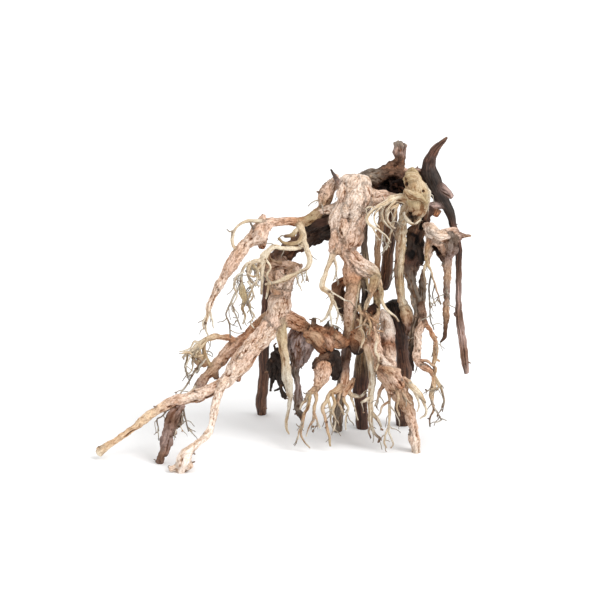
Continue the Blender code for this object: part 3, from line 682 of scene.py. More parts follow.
def darkPole():
    # smooth dark wood with long streaks and a dull shine
    look, paint = poleLook, Paint("darkPole")
    streaks, patches = paint.streaks(*look["streaks"]), paint.streaks(*look["patches"])
    paint.tone(0.9 * paint.rise(streaks, 0.48, 0.7), look["paleStreak"])
    paint.tone(0.9 * paint.rise(streaks, 0.5, 0.34), look["darkStreak"])
    paint.tone(0.7 * paint.rise(patches, 0.5, 0.68), look["patch"])
    specksAndShade(paint, 0.3)
    return paint.finish(0.42 + 0.3 * streaks, streaks, look["bump"])


crownLook = {
    "crumbs": (10 * mm, 3.2 * mm, 5),
    "patches": (30 * mm, 12 * mm, 2),
    "crumb": (1.9, 1.75, 1.6),
    "patch": (0.45, 0.42, 0.4),
    "ridge": (1.6, 1.5, 1.42),
    "bump": 1.4 * mm,
}


def roughCrown():
    # dark rough wood with paler crumbs; its ridges are painted paler, as highlight, and its creases
    # darker, as shade
    look, paint = crownLook, Paint("roughCrown")
    crumbs, patches = paint.streaks(*look["crumbs"]), paint.streaks(*look["patches"])
    paint.tone(0.9 * paint.rise(crumbs, 0.5, 0.66), look["crumb"])
    paint.tone(0.8 * paint.rise(patches, 0.48, 0.64), look["patch"])
    specksAndShade(paint, 0)
    # painted highlight: where the relief stands high the wood is paler
    paint.tone(0.8 * paint.rise(paint.reliefShade, 0.1, 0.9), look["ridge"])
    return paint.finish(0.66 + 0.2 * crumbs, crumbs, look["bump"])


weatheredLook = {
    "scales": (16 * mm, 3.2 * mm, 4),
    "edges": (18 * mm, 5 * mm),
    "scale": (0.55, 0.47, 0.43),
    "edge": (1.6, 1.55, 1.5),
    "bump": 1 * mm,
}


def weatheredBark():
    # grey purple bark that comes off in long scales
    look, paint = weatheredLook, Paint("weatheredBark")
    scales, edges = paint.streaks(*look["scales"]), paint.cells(*look["edges"])
    paint.tone(0.85 * paint.rise(scales, 0.5, 0.62), look["scale"])
    paint.tone(0.6 * paint.rise(edges, 0.5, 0.62), look["edge"])
    specksAndShade(paint, 0.1)
    return paint.finish(0.8 + 0.15 * scales, scales + edges, look["bump"])


charredLook = {
    "cracks": (8 * mm, 3 * mm, 5),
    "ash": (2.3, 2.1, 2.0),
    "bump": 1.2 * mm,
}


def charredWood():
    # charcoal with ashen ridges
    look, paint = charredLook, Paint("charredWood")
    cracks = paint.streaks(*look["cracks"])
    paint.tone(0.9 * paint.rise(cracks, 0.5, 0.7), look["ash"])
    specksAndShade(paint, 0)
    return paint.finish(0.8 + 0.15 * cracks, cracks, look["bump"])


cream = creamRoot()

# How each finish is carved, and the record's slot that it belongs to. Fibres and plates have a height, a
# length and a width, and grit has a height and a spacing. Ribs and lumps have their share of the limb's
# radius, and a length or a spacing
finishes = {
    "fleckedBark": {
        "material": fleckedBark(),
        "slot": "flecked_root",
        "fibres": (0.6 * mm, 16 * mm, 2.6 * mm),
        "plates": (1.0 * mm, 8 * mm, 4 * mm),
        "ribs": (0.26, 45 * mm),
        "lumps": (0.22, 12 * mm),
        "deepest": 9 * mm,  # the radius that ribs and lumps have their share of is no more than this
        "grit": (0.5 * mm, 4.5 * mm),
    },
    "creamRoot": {
        "material": cream,
        "slot": "cream_root",
        "fibres": (0.6 * mm, 24 * mm, 2.4 * mm),
        "plates": (0.5 * mm, 14 * mm, 4 * mm),
        "ribs": (0.26, 40 * mm),
        "lumps": (0.24, 9 * mm),
        "deepest": 9 * mm,
        "grit": (0.4 * mm, 4 * mm),
    },
    "paleRoot": {
        "material": cream,
        "slot": "pale_root",
        "fibres": (0.5 * mm, 24 * mm, 2.4 * mm),
        "plates": (0.4 * mm, 14 * mm, 4 * mm),
        "ribs": (0.2, 50 * mm),
        "lumps": (0.16, 10 * mm),
        "deepest": 7 * mm,
        "grit": (0.3 * mm, 4 * mm),
    },
    "darkPole": {
        "material": darkPole(),
        "slot": "dark_wood",
        "fibres": (0.4 * mm, 40 * mm, 2.6 * mm),
        "plates": (0.3 * mm, 30 * mm, 4 * mm),
        "ribs": (0.12, 90 * mm),
        "lumps": (0.08, 16 * mm),
        "deepest": 8 * mm,
        "grit": (0.15 * mm, 5 * mm),
    },
    "roughCrown": {
        "material": roughCrown(),
        "slot": "dark_wood",
        "fibres": (0.4 * mm, 40 * mm, 2.6 * mm),
        "plates": (1.2 * mm, 12 * mm, 5 * mm),
        "ribs": (0.34, 40 * mm),
        "lumps": (0.32, 10 * mm),
        "deepest": 12 * mm,
        "grit": (0.8 * mm, 5 * mm),
    },
    "weatheredBark": {
        "material": weatheredBark(),
        "slot": "weathered_bark",
        "fibres": (0.8 * mm, 18 * mm, 2.8 * mm),
        "plates": (1.0 * mm, 16 * mm, 5 * mm),
        "ribs": (0.28, 40 * mm),
        "lumps": (0.22, 11 * mm),
        "deepest": 9 * mm,
        "grit": (0.5 * mm, 5 * mm),
    },
    "charredWood": {
        "material": charredWood(),
        "slot": "charred_wood",
        "fibres": (0.7 * mm, 14 * mm, 2.8 * mm),
        "plates": (1.0 * mm, 8 * mm, 4 * mm),
        "ribs": (0.3, 22 * mm),
        "lumps": (0.3, 8 * mm),
        "deepest": 9 * mm,
        "grit": (0.6 * mm, 4 * mm),
    },
}
print("materials made")

# What lies below the floor is sawn off: a block 2 m wide with its top at the floor
bm = bmesh.new()
bmesh.ops.create_cube(bm, size=2, matrix=Matrix.Translation((0, 0, -1)))
ground = addObject("ground", bpy.data.meshes.new("ground"), bpy.context.scene.collection)
bm.to_mesh(ground.data)
bm.free()

limbStarts = itertools.count()


def growPiece(name, node, piece):
    chance, sawn = random.Random(name), piece.get("sawn", False)
    limbs = [growLimb(tones, stations, next(limbStarts), sawn) for tones, stations in piece["limbs"]]
    limbs += sprout(limbs, piece.get("rootlets", 0), rootlet, chance)
    limbs += sprout(limbs, piece.get("nubs", 0), nub, chance)
    finish = finishes[piece["finish"]]
    mesh = fusedSkin(limbs)
    carve(mesh, limbs, finish, piece.get("rugged", 1), piece.get("hollows", []))
    mesh.shade_smooth()
    mesh.materials.clear()
    mesh.materials.append(finish["material"])
    wood = addObject(f"{name}Wood", mesh, bpy.context.scene.collection)
    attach(wood, "root")
    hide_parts(node)
    print(name, "grown:", len(limbs), "limbs,", len(mesh.polygons), "faces")


# The pieces. A limb has its tones and its stations from end to end: across and up on the sketch, back and
# thickness, in mm. A hollow is one such station and how deep it is. Rootlets and nubs say how many grow
creamKnob = {
    "finish": "creamRoot",
    "rootlets": 34,
    "nubs": 12,
    "rugged": 1.4,
    "hollows": [
        (155, 384, -14, 16, 5),
        (178, 362, -26, 7, 3),
        (168, 378, -27, 7, 3),
        (185, 374, -22, 6, 2.5),
        (186, 392, -10, 18, 6),
        (160, 393, -19, 8, 3),
        (163, 353, -26, 9, 3),
        (163, 339, -15, 10, 6),
        (171, 331, -15, 12, 7),
    ],
    "limbs": [
        # knob
        ("olive straw olive tan", [(167, 406, -4, 12), (168, 398, -6, 22), (171, 388, -8, 31),
         (175, 370, -8, 37), (176, 352, -7, 34), (171, 339, -5, 22)]),
        # stem
        ("straw sand sand sand straw sand tan", [(170, 360, -5, 24), (161, 342, -1, 20),
         (154, 327, 2, 16), (152, 312, 4, 14), (152, 285, 6, 14), (150, 258, 8, 14), (150, 232, 10, 13),
         (153, 212, 12, 14), (158, 195, 13, 16), (159, 180, 14, 13)]),
        # rim down the right side
        ("ash sand", [(184, 384, -10, 9), (191, 372, -12, 9), (191, 356, -14, 9), (186, 341, -14, 7),
         (180, 333, -12, 4)]),
        # claws on the left
        ("sand sand sand ash", [(168, 362, -8, 18), (154, 363, -11, 14), (140, 362, -16, 10),
         (129, 356, -22, 8), (117, 350, -28, 6.5), (106, 342, -33, 6), (100, 332, -36, 5),
         (106, 322, -38, 4.4), (118, 315, -38, 4), (129, 306, -37, 3.2), (136, 297, -36, 2.2)]),
        ("sand ash", [(132, 357, -20, 7), (123, 346, -26, 6), (123, 334, -28, 5), (129, 324, -28, 4),
         (136, 318, -26, 2.6)]),
        ("sand ash", [(142, 358, -18, 7), (132, 345, -24, 6), (130, 332, -24, 5), (136, 325, -22, 4),
         (142, 333, -20, 3)]),
        ("sand sand ash", [(147, 354, -14, 7), (142, 339, -18, 6), (140, 324, -20, 5),
         (136, 309, -20, 4), (132, 296, -20, 3), (129, 285, -20, 2.2)]),
        ("sand ash", [(109, 320, -38, 4), (114, 309, -37, 3.2), (120, 300, -36, 2.4)]),
        ("ash", [(125, 310, -37, 3), (128, 298, -34, 2.6), (134, 290, -32, 2.2)]),
        ("sand ash", [(112, 347, -30, 4), (104, 350, -32, 3), (98, 346, -33, 2.2)]),
        # finer growth
        # a brown strip down the stem's left side: painted shade on the side turned from the light
        ("umber tan umber tan", [(153, 330, 0, 8), (147, 312, 1, 6), (146, 285, 3, 6), (144, 258, 5, 6),
         (145, 232, 7, 6), (149, 208, 9, 7)]),
        ("straw tan mauve umber", [(158, 198, 8, 17), (161, 184, 6, 18), (163, 172, 6, 15),
         (164, 158, 8, 9)]),
        ("olive straw", [(158, 390, -16, 9), (166, 396, -19, 13), (175, 394, -18, 11)]),
        ("tan soot soot", [(173, 348, -5, 26), (171, 337, -6, 22), (171, 328, -7, 15)]),
        ("straw olive", [(158, 374, -20, 9), (168, 367, -25, 12), (180, 364, -25, 11),
         (189, 356, -20, 8)]),
        ("ash sand", [(156, 341, -14, 6), (160, 331, -17, 6), (170, 325, -17, 6), (180, 331, -15, 6)]),
        ("sand ash", [(146, 352, -24, 4.4), (136, 346, -28, 4), (130, 334, -29, 3.6),
         (135, 322, -28, 3.2), (143, 318, -26, 2.6)]),
        ("sand", [(122, 350, -30, 4), (113, 340, -34, 4), (112, 328, -36, 3.4), (119, 318, -37, 2.8)]),
    ],
}
growPiece("creamKnob", "cream_knob", creamKnob)

mainTrunk = {
    "finish": "fleckedBark",
    "rootlets": 26,
    "nubs": 24,
    "rugged": 1.05,
    "limbs": [
        # trunk, top to toe
        ("blush pink pink pink rosy rosy rosy amber tan tan rosy tan umber", [(88, 390, 0, 34),
         (87, 378, -2, 47), (84, 363, -4, 48), (80, 345, -6, 45), (76, 326, -8, 42), (74, 306, -10, 40),
         (70, 290, -11, 36), (76, 270, -12, 26), (80, 249, -12, 27), (80, 226, -11, 24),
         (78, 202, -10, 21), (76, 180, -8, 18), (74, 160, -6, 14), (72, 150, -5, 9)]),
        # knobbly top
        ("blush pink pink", [(60, 382, -8, 12), (68, 389, -6, 18), (80, 390, -4, 19),
         (92, 382, -2, 20)]),
        ("pink pink tan", [(84, 352, -6, 44), (96, 366, -2, 26), (104, 376, 4, 15)]),
        # spike at the top left
        ("rosy mauve soot", [(75, 363, -14, 18), (63, 378, -15, 13), (54, 393, -14, 7),
         (46, 406, -12, 3)]),
        # ridge along the beam
        ("rosy tan mauve rosy", [(68, 340, 0, 26), (50, 338, 6, 17), (34, 333, 6, 14),
         (12, 325, 6, 11)]),
        # ridge to the cream knob
        ("pink rosy umber", [(99, 364, 0, 34), (114, 362, 4, 25), (130, 363, 3, 19), (146, 361, 0, 15),
         (158, 356, -2, 10)]),
        # brown mass beside the toe, brown in its own colour; its umber to soot lower end is painted
        # shade, for a hollow there
        ("umber rust amber rust umber soot", [(97, 198, 0, 9), (95, 186, -4, 15), (91, 172, -8, 22),
         (88, 158, -9, 27), (86, 144, -7, 24), (84, 132, -4, 13)]),
        # right branch
        ("rosy pink pink olive straw sand ash", [(81, 258, -14, 22), (96, 255, -18, 19),
         (110, 249, -22, 15), (118, 238, -25, 10), (122, 224, -26, 7), (123, 208, -27, 6),
         (130, 196, -28, 4.5), (140, 188, -29, 3.5), (148, 178, -30, 2.6)]),
        # loop under the right branch
        ("olive straw sand olive", [(116, 236, -24, 9), (108, 220, -27, 6), (100, 208, -28, 5),
         (99, 194, -27, 5), (101, 180, -22, 5.5), (101, 168, -16, 6)]),
        # hanging root on the left, with its forks
        ("pink sand sand straw ash", [(62, 296, -14, 16), (52, 284, -20, 12), (45, 268, -24, 9),
         (38, 249, -28, 7.5), (33, 230, -30, 7.5), (45, 220, -30, 7), (48, 208, -30, 6),
         (44, 194, -30, 5), (38, 183, -30, 3.5), (30, 177, -30, 2.4)]),
        ("sand ash", [(50, 277, -21, 6), (54, 262, -22, 4), (54, 249, -24, 3.2), (50, 238, -26, 2.4)]),
        ("sand ash", [(46, 216, -30, 4.5), (54, 201, -31, 4), (57, 188, -32, 3), (54, 174, -32, 2.2)]),
        ("ash", [(44, 196, -30, 3.6), (46, 183, -31, 2.8), (48, 171, -31, 2.2)]),
        ("sand ash", [(38, 228, -31, 4), (51, 220, -34, 3), (68, 210, -36, 2.4)]),
        # finer growth
        ("rosy rosy tan", [(60, 306, -14, 18), (57, 293, -17, 22), (54, 281, -20, 15)]),
        ("pink rosy rosy", [(63, 328, -16, 14), (56, 313, -18, 18), (52, 298, -20, 18),
         (47, 283, -21, 12)]),
        ("pink", [(84, 394, -10, 14), (78, 386, -17, 18), (73, 374, -20, 10)]),
        ("pink rosy", [(66, 384, -16, 12), (62, 371, -20, 14), (61, 358, -19, 8)]),
        ("pink rosy", [(94, 384, -12, 14), (99, 372, -14, 16), (97, 357, -18, 13), (90, 341, -20, 8)]),
        ("rosy pink tan", [(66, 330, -22, 14), (64, 314, -23, 16), (68, 298, -22, 12)]),
        ("pink pink rosy", [(64, 354, -12, 22), (58, 341, -14, 25), (55, 328, -15, 24),
         (57, 312, -14, 20)]),
        ("rosy pink pink", [(20, 338, 0, 10), (38, 345, -5, 14), (56, 347, -10, 22),
         (72, 345, -14, 27)]),
        ("soot dark soot", [(12, 318, 0, 14), (30, 326, -5, 15), (46, 330, -8, 12), (58, 334, -8, 8)]),
        ("pink rosy rosy", [(97, 360, -8, 20), (93, 345, -11, 19), (91, 330, -13, 18),
         (87, 312, -14, 16)]),
        ("rosy rosy pink olive", [(72, 286, -14, 24), (85, 270, -18, 24), (99, 260, -20, 20),
         (111, 252, -23, 16), (118, 244, -24, 10)]),
        ("straw sand straw", [(90, 238, -21, 3.6), (86, 214, -22, 3.6), (82, 190, -20, 3.4),
         (78, 166, -16, 2.8)]),
        ("slate soot soot", [(94, 240, -20, 7), (97, 224, -20, 10), (97, 206, -21, 9),
         (98, 194, -21, 5)]),
        ("olive tan straw", [(113, 245, -28, 12), (110, 233, -29, 13), (107, 221, -29, 9),
         (103, 208, -30, 6), (99, 196, -30, 4)]),
        ("tan rosy tan", [(80, 232, -18, 16), (76, 212, -20, 17), (74, 192, -18, 14),
         (73, 172, -15, 9)]),
        ("sand straw sand", [(88, 202, -22, 4), (93, 188, -25, 5.4), (90, 172, -27, 5),
         (95, 156, -31, 4.4), (92, 138, -33, 3)]),
    ],
}
growPiece("mainTrunk", "main_trunk", mainTrunk)

leftArm = {
    "finish": "fleckedBark",
    "rootlets": 80,
    "nubs": 40,
    "limbs": [
        # from behind the trunk's top, over and down to the far tip
        ("rosy peach tan olive amber rosy rosy pink rosy rosy pink pink sand ash", [(55, 397, 0, 6),
         (51, 387, 2, 11), (46, 374, 3, 13), (40, 360, 2, 14), (33, 347, 0, 15), (22, 337, -3, 16),
         (9, 330, -6, 17), (-3, 327, -9, 14), (-16, 328, -12, 12), (-32, 327, -16, 12),
         (-45, 326, -19, 15), (-57, 318, -22, 24), (-63, 306, -25, 25), (-77, 297, -29, 19),
         (-91, 281, -34, 17), (-103, 263, -38, 15.5), (-114, 245, -42, 14), (-124, 227, -46, 12.5),
         (-131, 213, -49, 11), (-136, 199, -51, 8), (-139, 186, -53, 5.4), (-142, 172, -54, 4),
         (-138, 156, -54, 2.6)]),
        # strand beside the shoulder, bump above and knob below the elbow
        ("rosy tan umber", [(46, 388, 0, 5), (38, 380, -2, 9), (33, 368, -4, 10), (31, 354, -3, 8),
         (30, 342, -2, 6)]),
        ("umber", [(34, 366, -5, 8), (29, 371, -6, 4)]),
        ("rosy pink", [(46, 376, 2, 10), (56, 382, -2, 9), (68, 378, -2, 9)]),
        ("rosy", [(-57, 326, -22, 14), (-54, 337, -22, 8)]),
        ("rosy rust", [(-57, 304, -22, 18), (-57, 289, -20, 9)]),
        # forked tip
        ("sand ash", [(-136, 196, -51, 4.5), (-132, 182, -52, 3.3), (-129, 168, -52, 2.2)]),
        ("sand ash", [(-140, 186, -53, 4), (-146, 176, -55, 3), (-144, 166, -56, 2.2)]),
        # loop standing out above the elbow
        ("ash straw sand straw", [(-54, 327, -24, 8), (-66, 329, -29, 6), (-79, 329, -33, 5.5),
         (-90, 324, -35, 5), (-98, 315, -37, 5), (-102, 303, -37, 5), (-101, 293, -37, 5),
         (-96, 284, -35, 5)]),
        ("slate", [(-75, 328, -32, 3), (-68, 314, -30, 2.4)]),
        ("ash", [(-97, 316, -37, 3), (-105, 312, -38, 2)]),
        # long loop on the right
        ("straw sand straw sand", [(-1, 324, -12, 12), (4, 311, -18, 10), (7, 297, -23, 8.5),
         (12, 283, -27, 8), (15, 269, -29, 8), (10, 258, -30, 7.5), (-4, 251, -31, 6.5),
         (-19, 243, -31, 6.5), (-35, 237, -30, 6), (-52, 233, -29, 4)]),
        # inner loop and its hanging end
        ("straw sand sand sand ash", [(6, 300, -20, 9), (1, 289, -26, 7), (-12, 287, -31, 6.5),
         (-26, 288, -34, 6.5), (-38, 290, -35, 7), (-47, 284, -35, 8), (-54, 275, -34, 12),
         (-56, 263, -33, 10), (-57, 249, -33, 6), (-57, 234, -33, 4.5), (-58, 219, -33, 3)]),
        # ring and hook inside the loop
        ("straw olive", [(2, 318, -15, 7), (3, 305, -22, 7), (-3, 297, -27, 6), (-15, 294, -30, 6),
         (-26, 297, -32, 5), (-32, 303, -32, 4)]),
        ("sand olive umber", [(-3, 318, -15, 8), (-8, 311, -20, 7.5), (-13, 306, -24, 7),
         (-23, 305, -27, 6.5)]),
        # strands laid back over the root stock
        ("sand tan", [(-50, 282, -32, 7), (-46, 272, -20, 7), (-38, 268, -8, 6), (-28, 266, 0, 5)]),
        ("sand tan", [(-56, 268, -33, 8), (-62, 262, -24, 7), (-56, 252, -12, 6), (-44, 246, 0, 5)]),
        # strands hanging below the loops
        ("sand straw ash", [(-57, 270, -34, 9), (-72, 266, -37, 7), (-78, 255, -39, 6),
         (-76, 243, -39, 5), (-69, 234, -38, 4), (-60, 231, -37, 3)]),
        ("sand ash olive olive ash", [(-64, 267, -36, 6), (-79, 264, -40, 5), (-87, 252, -42, 5),
         (-88, 236, -43, 6), (-86, 222, -43, 11), (-83, 210, -43, 9), (-86, 198, -43, 5),
         (-82, 184, -43, 3.6), (-86, 174, -43, 2.6)]),
        ("ash slate", [(-88, 234, -43, 4), (-96, 222, -45, 3.6), (-104, 206, -47, 3.3),
         (-111, 189, -49, 3), (-106, 174, -49, 2.6), (-104, 154, -48, 2.2)]),
        ("ash slate", [(-103, 208, -47, 3), (-98, 190, -46, 2.6), (-92, 176, -46, 2.4),
         (-88, 166, -46, 2)]),
        ("ash", [(-83, 212, -43, 5), (-75, 196, -42, 4), (-69, 186, -41, 3.3), (-74, 176, -41, 2.6),
         (-69, 168, -41, 2)]),
        ("sand ash", [(-57, 247, -34, 4), (-66, 237, -36, 3.2), (-72, 225, -37, 2.4)]),
        ("sand ash", [(-48, 235, -30, 4), (-48, 224, -30, 3), (-51, 212, -30, 2.2)]),
        ("sand ash", [(-76, 248, -39, 4), (-70, 258, -36, 4), (-62, 248, -35, 4),
         (-66, 234, -37, 3.3)]),
        ("sand ash", [(11, 263, -30, 4), (9, 252, -29, 3), (10, 240, -29, 2.2)]),
        ("sand ash", [(-6, 252, -31, 4), (-3, 236, -31, 3), (3, 224, -31, 2.2)]),
        ("sand ash", [(0, 256, -31, 3.3), (4, 244, -31, 2.6), (2, 236, -31, 2)]),
        # finer growth
        ("pink rosy peach", [(57, 391, -2, 12), (49, 384, -4, 17), (42, 374, -6, 18), (37, 364, -6, 14),
         (33, 353, -5, 8)]),
        ("rosy tan", [(36, 370, -10, 8), (31, 363, -11, 8), (30, 354, -9, 5)]),
        ("sand ash", [(-58, 262, -40, 4), (-66, 252, -42, 4), (-64, 240, -42, 3.6),
         (-72, 230, -43, 3.2), (-70, 216, -43, 2.8), (-78, 204, -43, 2.4)]),
        ("ash", [(-84, 252, -44, 3.6), (-94, 246, -45, 3.4), (-99, 232, -46, 3.2), (-95, 216, -47, 2.8),
         (-101, 202, -48, 2.4)]),
        ("ash olive", [(-78, 238, -44, 3.4), (-72, 226, -45, 3), (-78, 214, -45, 2.8),
         (-74, 200, -45, 2.4), (-79, 190, -45, 2.2)]),
        ("sand straw", [(-50, 270, -38, 3.8), (-44, 258, -37, 3.4), (-50, 246, -36, 3.2),
         (-45, 233, -36, 2.4)]),
        ("olive sand", [(-70, 262, -41, 4), (-63, 253, -42, 4.4), (-70, 245, -43, 4),
         (-79, 250, -43, 3.4)]),
    ],
}
growPiece("leftArm", "left_arm", leftArm)

leftRoot = {
    "finish": "fleckedBark",
    "rootlets": 12,
    "nubs": 22,
    "rugged": 0.95,
    "limbs": [
        # root stock, from the beam down
        ("umber rosy tan rosy pink rosy", [(-26, 275, 58, 16), (-27, 262, 36, 19), (-28, 252, 16, 29),
         (-28, 238, 8, 31), (-28, 224, 4, 27), (-30, 208, 0, 33), (-34, 190, -4, 37),
         (-38, 174, -8, 37)]),
        ("rosy tan rosy", [(-50, 251, 14, 18), (-28, 253, 13, 27), (-8, 253, 12, 20)]),
        # long limb to the far left
        ("pink pink rosy pink rosy pink rosy peach peach peach sand", [(-40, 177, -8, 30),
         (-57, 154, -18, 30), (-74, 135, -27, 30), (-88, 117, -36, 30), (-102, 100, -44, 27),
         (-116, 86, -52, 22), (-134, 74, -58, 19), (-152, 67, -63, 19), (-168, 62, -67, 17),
         (-184, 59, -70, 16), (-200, 52, -73, 14), (-216, 43, -76, 13), (-231, 33, -78, 12),
         (-246, 21, -80, 11), (-261, 10, -81, 10), (-275, 0, -82, 10), (-289, -9, -83, 11),
         (-301, -20, -84, 13)]),
        ("peach", [(-292, -10, -83, 9), (-304, -13, -84, 5)]),
        ("rust", [(-96, 104, -44, 16), (-92, 89, -44, 9)]),
        # foot with a knob
        ("pink pink blush blush blush", [(-111, 90, -56, 15), (-120, 74, -66, 12), (-126, 57, -76, 13),
         (-129, 39, -86, 12), (-132, 24, -96, 11), (-138, 10, -106, 11), (-150, -2, -116, 11),
         (-162, -12, -124, 13), (-171, -24, -130, 19), (-176, -36, -134, 24),
         (-180, -46, onFloor, 18)]),
        ("blush", [(-176, -34, -134, 16), (-186, -40, -136, 11), (-195, -43, -137, 8)]),
        ("blush", [(-172, -32, -132, 16), (-166, -41, -136, 13)]),
        # root hanging straight down
        ("olive straw ash ash straw", [(-30, 180, -12, 24), (-27, 162, -16, 15), (-26, 142, -18, 13),
         (-22, 120, -18, 13), (-20, 98, -18, 13), (-16, 78, -18, 11), (-15, 62, -18, 8),
         (-18, 44, -18, 6), (-21, 28, -18, 4.5), (-20, 16, -18, 3.6), (-16, 9, -18, 2.6)]),
        # shoulder towards the middle
        ("rosy amber tan", [(-24, 183, -4, 27), (-8, 178, -2, 26), (6, 171, 2, 20), (16, 164, 4, 14)]),
        # twigs under the limb
        ("slate", [(-176, 54, -70, 3.4), (-171, 28, -80, 2.5), (-167, 13, -84, 2.2)]),
        ("slate", [(-196, 50, -74, 3.4), (-206, 36, -78, 2.5), (-214, 31, -80, 2.2),
         (-212, 15, -84, 2)]),
        # finer growth
        ("rosy tan rosy", [(-50, 256, 8, 14), (-42, 246, 3, 20), (-34, 230, -1, 22),
         (-31, 212, -3, 22)]),
        ("tan rosy rosy", [(-12, 256, 6, 16), (-17, 246, 1, 20), (-22, 232, -1, 22),
         (-27, 214, -3, 22)]),
        ("umber rosy pink", [(-30, 268, 24, 20), (-29, 250, 5, 26), (-29, 230, -3, 26)]),
        ("tan rosy tan", [(-54, 256, 8, 13), (-38, 259, 8, 18), (-20, 259, 8, 18), (-2, 260, 11, 11)]),
        ("rosy pink", [(2, 262, 16, 8), (-6, 255, 6, 14), (-15, 244, -1, 18), (-22, 230, -4, 20)]),
        ("rosy pink", [(-52, 176, -20, 12), (-66, 156, -30, 14), (-80, 138, -38, 13),
         (-92, 122, -46, 9)]),
    ],
}
growPiece("leftRoot", "left_root", leftRoot)

leftBackRoot = {
    "finish": "fleckedBark",
    "rootlets": 30,
    "nubs": 20,
    "rugged": 1.3,
    "limbs": [
        ("tan amber rosy tan mauve", [(-48, 186, 14, 15), (-63, 171, 8, 18), (-80, 156, 0, 19),
         (-94, 144, -8, 19), (-108, 132, -16, 19), (-120, 118, -22, 19), (-130, 106, -28, 18),
         (-142, 94, -36, 16), (-150, 82, -44, 15), (-156, 70, -54, 10)]),
        ("tan umber", [(-129, 104, -27, 14), (-126, 93, -26, 9)]),
        # arch and its fan
        ("tan amber peach straw sand ash", [(-93, 144, -8, 12), (-105, 152, -14, 10),
         (-118, 155, -20, 8.5), (-132, 154, -26, 9), (-144, 149, -32, 9), (-154, 141, -38, 8),
         (-165, 132, -43, 6.5), (-177, 124, -47, 4)]),
        ("straw olive", [(-143, 148, -32, 7), (-144, 132, -32, 7), (-139, 118, -30, 8),
         (-133, 109, -28, 8)]),
        ("straw tan", [(-154, 141, -38, 8), (-152, 126, -36, 9), (-142, 113, -31, 9)]),
        ("straw tan", [(-158, 137, -40, 6), (-161, 123, -42, 6), (-151, 112, -38, 6)]),
        # claws
        ("sand ash", [(-150, 146, -36, 5), (-159, 148, -40, 3.6), (-164, 138, -44, 3),
         (-172, 134, -48, 2.7), (-180, 132, -50, 2.2)]),
        ("olive slate", [(-168, 127, -44, 4.5), (-171, 112, -47, 3.3), (-170, 96, -48, 2.3)]),
        ("olive ash", [(-162, 130, -42, 4.5), (-160, 114, -46, 3.4), (-164, 102, -48, 2.4)]),
        ("tan slate ash", [(-147, 119, -35, 5.4), (-154, 108, -42, 4.5), (-162, 96, -48, 3.6),
         (-170, 82, -54, 3), (-178, 72, -58, 2.4), (-183, 64, -62, 2)]),
        ("sand ash", [(-151, 84, -46, 4.5), (-162, 75, -56, 3), (-168, 69, -60, 2.2)]),
        # finer growth
        ("straw olive", [(-139, 150, -34, 5), (-150, 138, -41, 5), (-156, 128, -45, 4.4),
         (-151, 117, -46, 3.4)]),
        ("sand ash", [(-150, 143, -41, 4), (-158, 131, -45, 4), (-166, 122, -49, 3.4),
         (-172, 109, -51, 2.6)]),
        ("straw", [(-146, 127, -42, 4), (-157, 124, -46, 4.4), (-167, 131, -48, 3.4),
         (-177, 129, -51, 2.6)]),
        ("ash slate", [(-141, 121, -38, 4), (-149, 112, -44, 3.4), (-154, 100, -48, 2.6)]),
    ],
}
growPiece("leftBackRoot", "left_back_root", leftBackRoot)

darkFoot = {
    "finish": "weatheredBark",
    "rootlets": 8,
    "nubs": 8,
    "rugged": 1.9,
    "limbs": [
        ("mauve umber mauve umber mauve", [(-176, 52, -72, 11), (-183, 44, -76, 15),
         (-190, 31, -82, 17), (-196, 15, -88, 18), (-200, -1, -95, 18), (-202, -14, -98, 16),
         (-208, -26, -101, 13), (-210, -34, onFloor, 12)]),
        ("umber slate", [(-179, 48, -75, 7), (-178, 34, -80, 6), (-181, 24, -84, 7.5),
         (-186, 18, -86, 5)]),
    ],
}
growPiece("darkFoot", "dark_foot", darkFoot)

